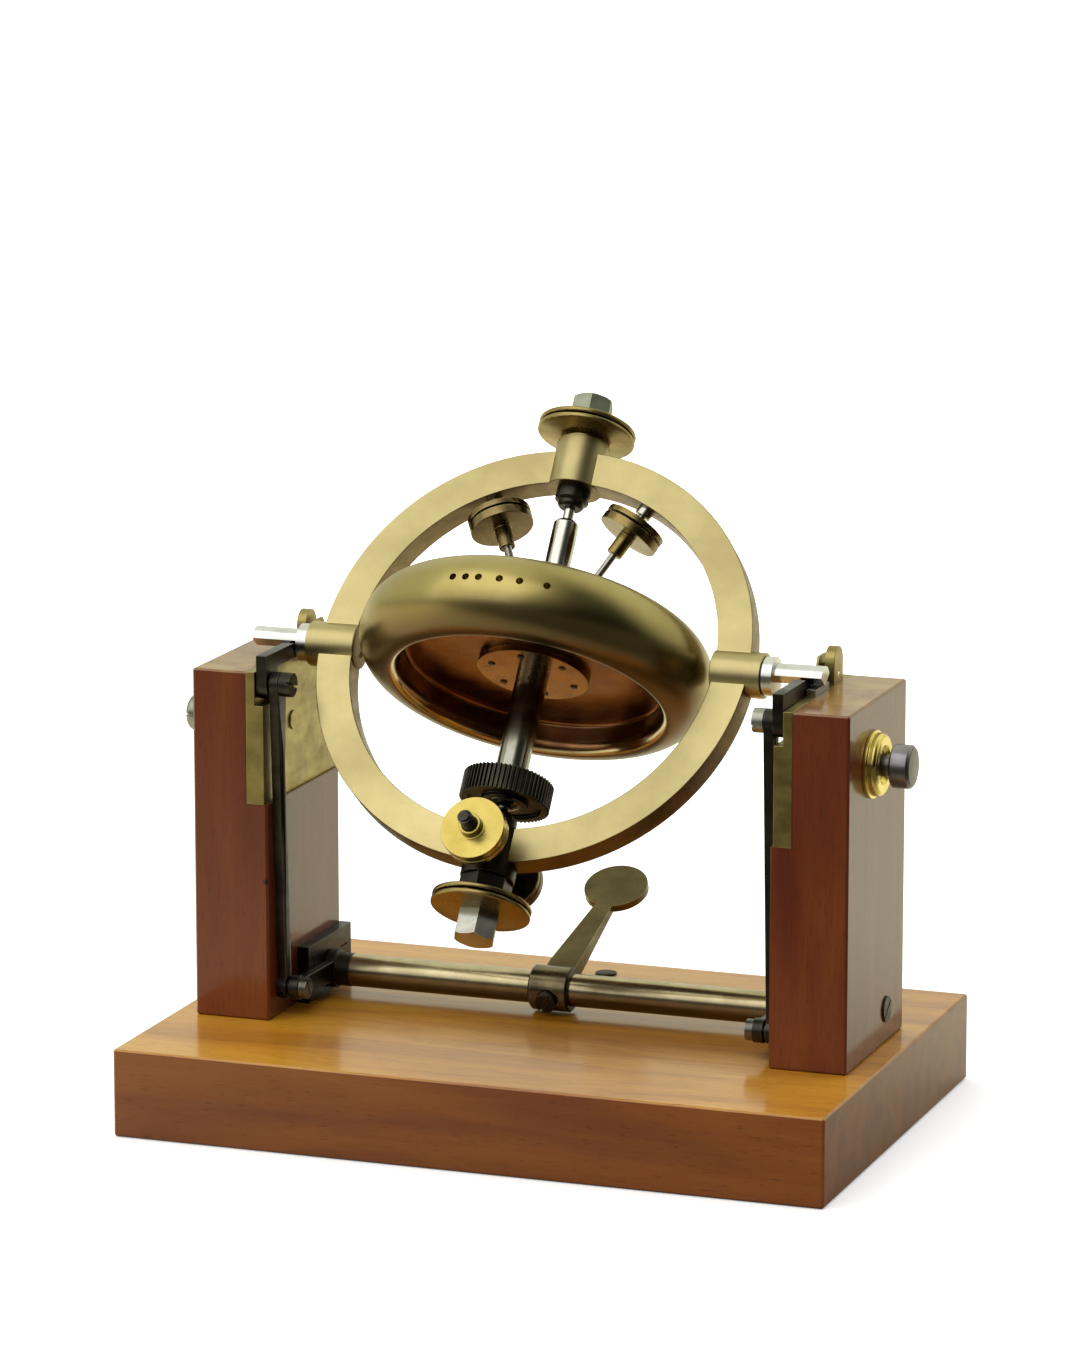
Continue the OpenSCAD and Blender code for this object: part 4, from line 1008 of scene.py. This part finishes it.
# %% [markdown]
# ## Pivot screws
# A screw with a hexagon head runs through the lock discs behind each bush. The corners of a real
# hexagon are turned off at the end, so the flats are made first as a prism, and a turned cone is then
# cut away from its corners. The upper head takes a duller and greener copy of the hexagon steel,
# which paints the light that falls on it.

# %% Pivot screws
hex_across = 15.6 * mm
hex_height = 11.3 * mm
hex_bevel = 1.2 * mm
hex_turn = {"upper": 12, "lower": 42}
screw_radius = 3 * mm
# Painted light: a copy of the hexagon steel tinted for the light on the upper head.
upper_hexagon_lit_steel = metal("Upper hexagon steel", (0.42, 0.43, 0.36), (0.30, 0.31, 0.25), 0.48, wear=0.6,
                            edge=(0.60, 0.60, 0.54))
screw_finish = {"upper": upper_hexagon_lit_steel, "lower": hexagon_steel}


def hexagon_head(low, high, turn):
    """A hexagon with its outer corners turned to a cone."""
    flats = prism(6, hex_across, low, high, 0.15 * mm, turn)
    corner = hex_across / math.sqrt(3)
    shell = lathe([(corner - hex_bevel, high + mm), (corner + hex_bevel, high + mm),
                   (corner + hex_bevel, high - 2 * hex_bevel), (corner, high - 0.6 * hex_bevel),
                   (hex_across / 2 + 0.1 * mm, high + 0.02 * mm)], steps=48)
    return cut(flats, shell)


for half, place in upright.items():
    low, high = extent(f"{half}_pivot_screw", place)
    head_low = high.z - hex_height
    shank = rod(screw_radius, low.z, head_low, steps=48)
    finish_piece(half + "_pivot_screw_head", join(hexagon_head(head_low, high.z, hex_turn[half]), shank),
                 screw_finish[half], f"{half}_pivot_screw", place)
print("hexagons across the flats (mm):", round(hex_across / mm, 1))

# %% [markdown]
# ## Lock discs and nuts
# Each pivot screw is locked by a pair of thin discs: a shallow cone with a rounded rim, and a flat nut
# with the same rim above it, parted by a groove. They are turned from one section each. A small
# hexagon jam nut sits below the lower pair.

# %% Lock discs and nuts
lock_hub = 8.8 * mm
rim_edge = 0.4 * mm
disc_rim = 2 * mm
disc_depth = 4 * mm
disc_groove = 0.8 * mm
jam_ease = 0.4 * mm


def lock_disc_section(low, high, radius, hub_low):
    """Shallow cone from the hub to a thin rounded rim."""
    rim_low = high - disc_rim
    return [(screw_radius, hub_low), (lock_hub, hub_low), (lock_hub, low), (radius - rim_edge, rim_low),
            (radius, rim_low + rim_edge), (radius, high - rim_edge), (radius - rim_edge, high),
            (screw_radius, high)]


def lock_nut_section(low, high, radius):
    """A groove at the foot, a flat disc with a rounded rim, and a low cone up to the hub."""
    rim_low = low + disc_groove
    rim_top = rim_low + disc_rim
    return [(screw_radius, low), (lock_hub, low), (lock_hub, rim_low), (radius - rim_edge, rim_low),
            (radius, rim_low + rim_edge), (radius, rim_top - rim_edge), (radius - rim_edge, rim_top),
            (lock_hub, high), (screw_radius, high)]


for half, place in upright.items():
    low, high = extent(f"{half}_lock_disc", place)
    disc = lathe(lock_disc_section(high.z - disc_depth, high.z, high.x, low.z), 0.3 * mm, 128)
    finish_piece(half + "_lock_disc_turned", disc, disc_brass, f"{half}_lock_disc", place)
    low, high = extent(f"{half}_lock_nut", place)
    nut = lathe(lock_nut_section(low.z, high.z, high.x), 0.3 * mm, 128)
    finish_piece(half + "_lock_nut_turned", nut, disc_brass, f"{half}_lock_nut", place)
low, high = extent("lower_jam_nut", upright["lower"])
jam = prism(6, 2 * min(high.x, high.y), low.z, high.z, jam_ease, 0 if high.y < high.x else 30)
finish_piece("lower_jam_nut_filed", jam, black_steel, "lower_jam_nut", upright["lower"])
print("lock discs across (mm):", round(2 * extent("upper_lock_disc", in_ring)[1].x / mm, 1))

# %% [markdown]
# ## Balance rods
# Each balance disc is screwed along a threaded rod. The two upper rods are bright and slim, with a
# small collar at the ring, and the front and rear ones are black and coarse. All are made upright in
# the frame of their own rod, with a real thread and a coned tip.

# %% Balance rods
slim_radius = 1.75 * mm
slim_pitch = 0.5 * mm
slim_tip = 1.2 * mm
slim_collar = (74.0 * mm, 78.8 * mm)
coarse_pitch = 0.8 * mm
coarse_tip = 1.0 * mm
rod_radius = {}


def slim_rod(low, high):
    """A bright rod: its tip towards the rotor and its collar at the ring."""
    thread = threaded(slim_radius, low + slim_tip, high, slim_pitch, 24)
    tip = lathe([(0, low), (slim_radius - 0.6 * mm, low), (slim_radius - 0.25 * mm, low + slim_tip),
                 (0, low + slim_tip)], steps=24)
    return join(thread, tip, rod(2 * slim_radius, *slim_collar, 0.2 * mm, 32))


def coarse_rod(radius, low, high):
    """A black rod with its tip outwards."""
    thread = threaded(radius, low, high - coarse_tip, coarse_pitch)
    tip = lathe([(0, high - coarse_tip), (radius - 0.4 * mm, high - coarse_tip),
                 (radius - 1.2 * mm, high), (0, high)], steps=40)
    return join(thread, tip)


for side, place in rod_frames.items():
    low, high = extent(f"{side}_balance_rod", place)
    slim = side in SIDES
    rod_radius[side] = slim_radius if slim else high.x
    shape = slim_rod(low.z, high.z) if slim else coarse_rod(high.x, low.z, high.z)
    finish_piece(side + "_rod_threaded", shape, axle_steel if slim else black_steel,
                 f"{side}_balance_rod", place)
print("rod radii (mm):", {side: round(radius / mm, 2) for side, radius in rod_radius.items()})

# %% [markdown]
# ## Balance weights
# A weight is a disc with a narrower hub, and its lock nut is a thinner disc that leaves a groove
# between the two. The upper weights have the hub towards the rotor and the others have it outwards,
# so one section serves all eight pieces, with the hub at its low or its high end.

# %% Balance weights
weight_thick = 3.8 * mm
weight_groove = 0.8 * mm
slim_hub = 3.4 * mm
coarse_hub = 4.6 * mm


def disc_with_hub(bore, hub, rim, low, step, high, hub_below):
    """Section of a disc and a hub that meet at a height."""
    if hub_below:
        return [(bore, low), (hub, low), (hub, step), (rim, step), (rim, high), (bore, high)]
    return [(bore, low), (rim, low), (rim, step), (hub, step), (hub, high), (bore, high)]


for side, place in rod_frames.items():
    slim = side in SIDES
    hub = slim_hub if slim else coarse_hub
    bore = rod_radius[side] + running_fit
    low, high = extent(f"{side}_balance_weight", place)
    rim = high.x
    step = high.z - weight_thick if slim else low.z + weight_thick
    weight = lathe(disc_with_hub(bore, hub, rim, low.z, step, high.z, slim), 0.45 * mm, 96)
    finish_piece(side + "_weight_turned", weight, weight_light_and_shade[side], f"{side}_balance_weight", place)
    low, high = extent(f"{side}_balance_locknut", place)
    step = low.z + weight_groove if slim else high.z - weight_groove
    nut = lathe(disc_with_hub(bore, hub, rim, low.z, step, high.z, slim), 0.4 * mm, 96)
    finish_piece(side + "_locknut_turned", nut, weight_light_and_shade[side], f"{side}_balance_locknut", place)
print("pieces after the weights:", len(made))

# %% [markdown]
# ## Trunnions
# A trunnion is a journal inside the ring's boss, a collar, and a bar with a round back that is ground
# to a knife edge below. It could be turned and ground again here, but its CAD shape already has the
# true edge, so an eased copy with a very small radius keeps it.

# %% Trunnions
edge_round = 0.12 * mm
for side in SIDES:
    finish_piece(side + "_trunnion_ground", eased_copy(f"{side}_trunnion", edge_round, 2), white_steel,
                 f"{side}_trunnion")
print("trunnion line is at height (mm):", round(ring_centre.z / mm, 1))

# %% [markdown]
# ## The slotted bolt
# The left plate is held by a bolt that ends in a long domed head with a screwdriver slot. It is
# turned as if it stood on the right, and a mirrored frame carries it over. Its inner end is filed
# flush with the plate, so that face takes the brass of the plate.

# %% Slotted bolt
outer_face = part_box("right_pillar")[1].x
plate_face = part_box("clamp_knob")[0].x
bolt_end = -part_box("left_plate_bolt")[0].x
bolt_radius = 3.8 * mm
dome_radius = 7.4 * mm
dome_height = 3 * mm
bolt_slot_half = 0.6 * mm
bolt_slot_deep = 4 * mm
bolt_section = [(0, plate_face), (bolt_radius, plate_face), (bolt_radius, outer_face),
                (dome_radius, outer_face), (dome_radius, bolt_end - dome_height)]
bolt_section += arc((0, bolt_end - dome_height), dome_radius, dome_height, 0, 90, 10)[1:]
cutter = block((-bolt_slot_half, -10 * mm, bolt_end - bolt_slot_deep),
               (bolt_slot_half, 10 * mm, bolt_end + mm))
bolt = cut(lathe(bolt_section, 0.25 * mm, 64), cutter)
choose_finish(bolt, lambda face: 1 if face.calc_center_median().z < plate_face + 0.05 * mm else 0)
mirrored_bolt = Matrix.Scale(-1, 4, (1, 0, 0)) @ bolt_frame
finish_piece("left_bolt_turned", bolt, [grey_steel, plate_brass], "left_plate_bolt", mirrored_bolt)
print("bolt head stands out by (mm):", round((bolt_end - outer_face) / mm, 1))

# %% [markdown]
# ## Ferrule
# On the right, a brass ferrule with a flat foot and a rounded bead sits on the pillar. It is turned
# about the bolt's line, and the bead is an arc in its section.

# %% Ferrule
ferrule_radius = 13.8 * mm
ferrule_bore = bolt_radius + running_fit
foot_top = outer_face + 1.6 * mm
bead_low = outer_face + 3.4 * mm
bead_round = 2 * mm
bead_centre = 10.7 * mm
bead_top = outer_face + 5.4 * mm
bead_inner = 8 * mm
dish_radius = 7 * mm
ferrule_section = [(ferrule_bore, outer_face), (ferrule_radius, outer_face), (ferrule_radius, foot_top),
                   (bead_centre + bead_round, foot_top)]
ferrule_section += arc((bead_centre, bead_low), bead_round, bead_round, 0, 90, 8)
ferrule_section += [(bead_inner, bead_top), (dish_radius, bead_low), (ferrule_bore, bead_low)]
finish_piece("ferrule_turned", lathe(ferrule_section, 0.3 * mm, 96), bright_brass, "right_ferrule",
             bolt_frame)
print("ferrule across (mm):", round(2 * ferrule_radius / mm, 1))

# %% [markdown]
# ## Knob
# The ferrule carries a steel knob on a thin neck, turned about the same line. Its rim is broken at the
# back and crowned in front, and its flat end is darker than its side.

# %% Knob
knob_low, knob_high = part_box("clamp_knob")
knob_radius = (knob_high.z - knob_low.z) / 2
knob_end = knob_high.x
neck_radius = 4.6 * mm
neck_low = outer_face + 3.7 * mm
neck_high = outer_face + 8.9 * mm
knob_break = 0.7 * mm
crown_in, crown_back, crown_rise = 1.2 * mm, 1.4 * mm, 0.35 * mm
knob_section = [(0, plate_face), (bolt_radius, plate_face), (bolt_radius, neck_low),
                (neck_radius, neck_low), (neck_radius, neck_high), (knob_radius - knob_break, neck_high),
                (knob_radius, neck_high + knob_break), (knob_radius, knob_end - crown_back),
                (knob_radius - crown_in, knob_end - crown_rise), (0, knob_end)]
knob = lathe(knob_section, 0.3 * mm, 72)
choose_finish(knob, lambda face: 1 if face.calc_center_median().z > knob_end - 0.5 * mm else 0)
finish_piece("knob_turned", knob, [knob_steel, dark_steel], "clamp_knob", bolt_frame)
print("knob across (mm):", round(2 * knob_radius / mm, 1))

# %% [markdown]
# ## Cross shaft
# The cross shaft is a plain bar with smaller ends, which turn in the brackets. It is turned upright
# and laid along X.

# %% Cross shaft
shaft_low, shaft_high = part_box("cross_shaft")
shaft_radius = (shaft_high.z - shaft_low.z) / 2
shaft_end = shaft_high.x
shaft_half = 91.7 * mm
end_radius = 4 * mm
shaft_section = [(0, -shaft_end), (end_radius, -shaft_end), (end_radius, -shaft_half),
                 (shaft_radius, -shaft_half), (shaft_radius, shaft_half), (end_radius, shaft_half),
                 (end_radius, shaft_end), (0, shaft_end)]
finish_piece("cross_shaft_turned", lathe(shaft_section, 0.3 * mm, 72), shaft_bronze, "cross_shaft",
             cross_shaft_frame)
print("cross shaft across (mm):", round(2 * shaft_radius / mm, 1))

# %% [markdown]
# ## Crank pins
# The crank pins, the lever screws and the collar's screw are all a plain pin with a slotted head, at
# three sizes. One function makes the piece upright, and a frame lays it along X. The crank pins come
# first: they join the cranks to the links, and their heads sit on the inner sides.

# %% Crank pins
def pin_with_head(low, head_low, high, radius, head_radius, slot, turn):
    """A plain pin with a slotted head on top."""
    pin = rod(radius, low, head_low, 0.15 * mm, 40)
    return join(slotted_head(head_radius, head_low, high, slot, turn=turn, steps=40), pin)


def facing_in(side, y, z):
    """A frame that stands on the line x = 0 with its top towards the middle from a side."""
    return frame_along((0, y, z), (-side, 0, 0), (0, 0, 1))


pin_radius = 2.5 * mm
pin_y, pin_z = joints["left_link_swing"]["pos_m"][1:]
pin_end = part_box("crank_pins")[1].x
crank_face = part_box("right_crank")[1].x - 4.2 * mm
crank_head = 3.2 * mm
crank_head_radius = 4.4 * mm
crank_slot = 0.9 * mm
pins = [placed(pin_with_head(-pin_end, -crank_face, crank_head - crank_face, pin_radius,
                             crank_head_radius, crank_slot, 25), facing_in(side, pin_y, pin_z))
        for side in (-1, 1)]
finish_piece("crank_pin_screws", join(*pins), dark_steel, "crank_pins")
print("crank pin heads across (mm):", round(2 * crank_head_radius / mm, 1))

# %% [markdown]
# ## Lever screws and the collar's screw
# A larger screw joins each link to its lever. The left one is black and the right one bare. The screw
# that holds the collar of the paddle looks to the front and a little down.

# %% Lever screws and the collar's screw
lever_head = 4.7 * mm
lever_head_radius = 5 * mm
lever_slot = 1.0 * mm
for side, name in ((-1, "left"), (1, "right")):
    low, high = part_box(f"{name}_lever_screw")
    inner, outer = sorted((abs(low.x), abs(high.x)))
    screw = pin_with_head(-outer, -inner - lever_head, -inner, pin_radius, lever_head_radius,
                          lever_slot, 70)
    placed(screw, facing_in(side, (low.y + high.y) / 2, (low.z + high.z) / 2))
    finish_piece(name + "_lever_screw_slotted", screw, black_steel if name == "left" else grey_steel,
                 f"{name}_lever_screw")

hub_low, hub_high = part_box("shaft_hub")
hub_middle = (hub_low.x + hub_high.x) / 2
hub_screw_dip = math.radians(20)
hub_head = 4 * mm
hub_pin_radius = 2.2 * mm
hub_slot = 0.9 * mm
hub_place = frame_along((hub_middle, *joints["shaft_turn"]["pos_m"][1:]),
                        (0, -math.cos(hub_screw_dip), -math.sin(hub_screw_dip)))
low, high = extent("hub_screw", hub_place)
hub_screw = pin_with_head(low.z, high.z - hub_head, high.z, hub_pin_radius, high.x, hub_slot, 60)
finish_piece("hub_screw_slotted", hub_screw, black_steel, "hub_screw", hub_place)
print("pieces after the small screws:", len(made))

# %% [markdown]
# ## Screws in the wood and the brackets
# One node holds every wood screw, so one piece does too. The board's screws are out of sight
# underneath, so each keeps a plain slotted head there. The flush ones in the brackets, the two in the
# outer faces of the pillars and the stop screw on the board show.

# %% Wood screws
board_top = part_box("base_board")[1].z
pillar_low, pillar_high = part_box("right_pillar")
pillar_middle = (pillar_low.x + pillar_high.x) / 2
bracket_low, bracket_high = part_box("right_shaft_bracket")
wood_shank = 3 * mm
base_head = (-4.6 * mm, -0.6 * mm)
base_radius, base_slot = 4.6 * mm, 1.0 * mm
base_reach = -board_top - 22 * mm
side_radius, side_tall, side_slot = 5.4 * mm, 0.8 * mm, 1.1 * mm
side_reach = -18 * mm
side_screw_at = (15.5 * mm, board_top + 13.9 * mm)
flush_radius, flush_deep, flush_slot = 3.6 * mm, 1.6 * mm, 0.8 * mm
flush_at = (bracket_low.y + 6 * mm, bracket_high.y - 8 * mm)
flush_height = board_top + 16 * mm
stop_radius, stop_tall, stop_dome, stop_slot = 4.6 * mm, 1.4 * mm, 0.8 * mm, 0.9 * mm
stop_reach = -11 * mm
stop_at = (-2.8 * mm, 80.3 * mm, board_top)
screws = []
for side in (-1, 1):
    for end in (-1, 1):
        screw = join(slotted_head(base_radius, *base_head, base_slot, turn=40 * end),
                     rod(wood_shank, base_reach, base_head[0]))
        screws.append(placed(screw, frame_along((side * pillar_middle, end * pillar_high.y / 2, 0),
                                                (0, 0, -1))))
    screw = join(slotted_head(side_radius, 0, side_tall, side_slot, turn=-52, steps=40),
                 rod(wood_shank, side_reach, 0))
    screws.append(placed(screw, frame_along((side * pillar_high.x, *side_screw_at), (side, 0, 0),
                                            (0, 0, 1))))
    for i, y in enumerate(flush_at):
        screw = slotted_head(flush_radius, -flush_deep, 0, flush_slot, turn=20 + 70 * i, steps=40)
        screws.append(placed(screw, frame_along((side * bracket_low.x, y, flush_height), (-side, 0, 0),
                                                (0, 0, 1))))
stop = join(slotted_head(stop_radius, 0, stop_tall, stop_slot, dome=stop_dome, turn=15, steps=40),
            rod(wood_shank, stop_reach, 0))
screws.append(placed(stop, Matrix.Translation(stop_at)))
finish_piece("wood_screws_slotted", join(*screws), black_steel, "wood_screws")
print("wood screws:", len(screws))

# %% [markdown]
# ## Hinge pins
# The levers are hinged at the back on two short steel pins, which lie in the forks. Each is a plain
# turned pin that starts level with the inner face of its plate.

# %% Hinge pins
low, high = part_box("clevis_pins")
hinge_radius = (high.z - low.z) / 2
hinge_y, hinge_z = (low.y + high.y) / 2, (low.z + high.z) / 2
plate_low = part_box("right_bearing_plate")[0].x
hinge_pins = [placed(rod(hinge_radius, plate_low, high.x, 0.3 * mm),
                     frame_along((0, hinge_y, hinge_z), (side, 0, 0), (0, 0, 1))) for side in (-1, 1)]
finish_piece("hinge_pins_turned", join(*hinge_pins), white_steel, "clevis_pins")
print("hinge pins across (mm):", round(2 * hinge_radius / mm, 1))

# %% [markdown]
# ## Anything left over
# Every node that no new piece stands for still needs a finish. None should be left now, and the line
# that is printed says so.

# %% Check that every node is dressed
left_over = [name for name, thing in nodes.items() if not thing.get("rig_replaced") and
             not thing.hide_render]
print("pieces made:", len(made), "nodes still showing:", left_over)

# %% [markdown]
# ## The floor
# The floor is a wide pale disc just below the board, which keeps the instrument's shadow. It reaches so
# far that its edge isn't in the picture.

# %% Floor
floor_radius = 40.0
floor_drop = 0.2 * mm
sweep = bmesh.new()
bmesh.ops.create_circle(sweep, cap_ends=True, segments=96, radius=floor_radius)
floor_mesh = bpy.data.meshes.new("floor")
sweep.to_mesh(floor_mesh)
sweep.free()
floor = bpy.data.objects.new("floor", floor_mesh)
floor.location.z = -floor_drop
bpy.context.scene.collection.objects.link(floor)
print("floor across (m):", 2 * floor_radius)

# %% [markdown]
# ## Paper for the floor
# One plain material would make the polished metal mirror a bright floor from every side, so the paper
# answers by kind of ray. The camera sees it pale, with a glow that grows far out, where it runs into
# the white background. Reflections see it warm, and dim towards the front right. The light that it
# throws back on the instrument is weakened.

# %% Floor finish
glow_near = 0.30
glow_from, glow_to = 0.25, 1.3
paper_white = (0.86, 0.86, 0.86)
paper_mirrored = (0.86, 0.83, 0.60)
thrown_back = 0.35
paper, tree, shader = new_finish("Pale paper", roughness=0.85, specular_ior_level=0.1)
rays = node_in(tree, "LightPath").outputs
where = node_in(tree, "TexCoord").outputs["Object"]
spot = node_in(tree, "SeparateXYZ", {0: where}).outputs
reach = node_in(tree, "VectorMath", {0: where}, operation="LENGTH").outputs["Value"]
mirrored = sums(tree, "MAXIMUM", rays["Is Glossy Ray"], rays["Is Transmission Ray"])
tree.links.new(mix(tree, mirrored, paper_white, paper_mirrored), shader.inputs["Base Color"])
behind = sums(tree, "SUBTRACT", spot[1], spot[0])
front_side = span(tree, behind, -0.40, 0.10, 0.08, 1.0)
kept = sums(tree, "ADD", sums(tree, "MULTIPLY", mirrored, front_side),
            sums(tree, "MULTIPLY", rays["Is Diffuse Ray"], thrown_back))
kept = sums(tree, "ADD", kept, rays["Is Camera Ray"])
far = span(tree, reach, glow_from, glow_to, 0.0, 1.0)
shine = sums(tree, "MULTIPLY", rays["Is Camera Ray"], sums(tree, "ADD", glow_near, far))
glow = node_in(tree, "Emission", {"Color": (1, 1, 1, 1), "Strength": shine}).outputs[0]
shade = node_in(tree, "MixShader", {0: kept, 2: shader.outputs[0]}).outputs[0]
both = node_in(tree, "AddShader", {0: shade, 1: glow}).outputs[0]
tree.links.new(both, tree.nodes["Material Output"].inputs["Surface"])
floor_mesh.materials.append(paper)
print("nodes in the paper:", len(tree.nodes))

# %% [markdown]
# ## The room
# Polished metal shows the room more than it shows its own colour, so the room is designed first. It is
# painted on the world by direction alone: a white backdrop behind, a broad soft light overhead, a lit
# left side, and a dark front right, which gives the brass its dark streaks. The camera sees plain
# white, and mirrored rays see the room in a slightly yellow green tint. Rays of soft light get more
# from above, so that the upper faces of the wood aren't too dark. Each span says between which two
# directions the light changes, where 1 is straight up, right or back and -1 is the opposite, and
# between which two levels of brightness.

# %% World
mirror_tint = (0.97, 1.0, 0.80)
world = bpy.data.worlds.new("Studio")
bpy.context.scene.world = world
world.use_nodes = True
sky = world.node_tree
background = sky.nodes["Background"]
rays = node_in(sky, "LightPath").outputs
to_right, to_back, up = node_in(sky, "SeparateXYZ",
                                {0: node_in(sky, "TexCoord").outputs["Generated"]}).outputs[:3]
backdrop = sums(sky, "MULTIPLY", span(sky, to_back, -0.15, 0.45, 0.0, 1.0),
                span(sky, up, 0.15, 0.40, 0.66, 0.92))
overhead = span(sky, up, 0.20, 0.70, 0.06, 0.90)
left_side = sums(sky, "MULTIPLY", span(sky, to_right, -0.85, -0.30, 0.85, 0.0),
                 span(sky, up, -0.05, 0.15, 0.25, 1.0))
shadow_side = span(sky, to_right, 0.05, 0.50, 1.0, 0.06)
front_room = sums(sky, "MULTIPLY", sums(sky, "MAXIMUM", overhead, left_side), shadow_side)
room = sums(sky, "MAXIMUM", backdrop, front_room)
from_above = span(sky, up, 0.30, 0.90, 0.0, 0.8)
room = sums(sky, "ADD", room, sums(sky, "MULTIPLY", rays["Is Diffuse Ray"], from_above))
level = sums(sky, "MAXIMUM", rays["Is Camera Ray"], room)
sky.links.new(level, background.inputs["Strength"])
sky.links.new(mix(sky, rays["Is Glossy Ray"], (1, 1, 1), mirror_tint), background.inputs["Color"])
print("nodes in the room:", len(sky.nodes))

# %% [markdown]
# ## The lamp
# One large soft lamp at the upper left in front gives the light its direction. A lamp is set by power,
# but what a mirror sees is how bright its face looks, so a small function works the power out from
# that and from its size.

# %% Lamp
object_middle = Vector((0, 0, 0.13))


def softbox(name, direction, distance, size, radiance, tint):
    """A square area lamp that looks at the instrument, set by how bright its face looks."""
    lamp = bpy.data.lights.new(name, "AREA")
    lamp.shape, lamp.size = "SQUARE", size
    lamp.energy = radiance * math.pi * size * size
    lamp.color = tint
    thing = bpy.data.objects.new(name, lamp)
    away = Vector(direction).normalized()
    thing.location = object_middle + away * distance
    thing.rotation_mode = "QUATERNION"
    thing.rotation_quaternion = away.to_track_quat("Z", "Y")
    bpy.context.scene.collection.objects.link(thing)
    return lamp


key_direction = (-0.36, -0.60, 0.68)
key_distance, key_size = 2.2, 2.6
key_brightness = 0.86
key_tint = (1, 0.99, 0.94)
key = softbox("Key", key_direction, key_distance, key_size, key_brightness, key_tint)
print("key lamp (W):", round(key.energy, 1))

# %% [markdown]
# ## The camera
# The camera stands well back with a long lens, to the right of the front and a little above, as the
# corners of the board and the pillars in the photograph tell. It aims close to the ring's middle, and
# no shift or depth of field is used.

# %% Camera
lens = 157.5
turn_right, rise = math.radians(19.93), math.radians(11.68)
aim = Vector((-3.387 * mm, 0, 181.2 * mm))
stand_off = 2.3951
camera_data = bpy.data.cameras.new("Camera")
camera_data.lens = lens
camera_data.sensor_width = 36
camera_data.sensor_fit = "AUTO"
camera_data.clip_start, camera_data.clip_end = 0.05, 100
camera = bpy.data.objects.new("Camera", camera_data)
back_off = Vector((math.sin(turn_right) * math.cos(rise), -math.cos(turn_right) * math.cos(rise),
                   math.sin(rise)))
camera.location = aim + back_off * stand_off
camera.rotation_mode = "QUATERNION"
camera.rotation_quaternion = back_off.to_track_quat("Z", "Y")
bpy.context.scene.collection.objects.link(camera)
bpy.context.scene.camera = camera
bpy.context.scene.view_settings.view_transform = "Standard"
print("camera stands at (m):", [round(value, 3) for value in camera.location])
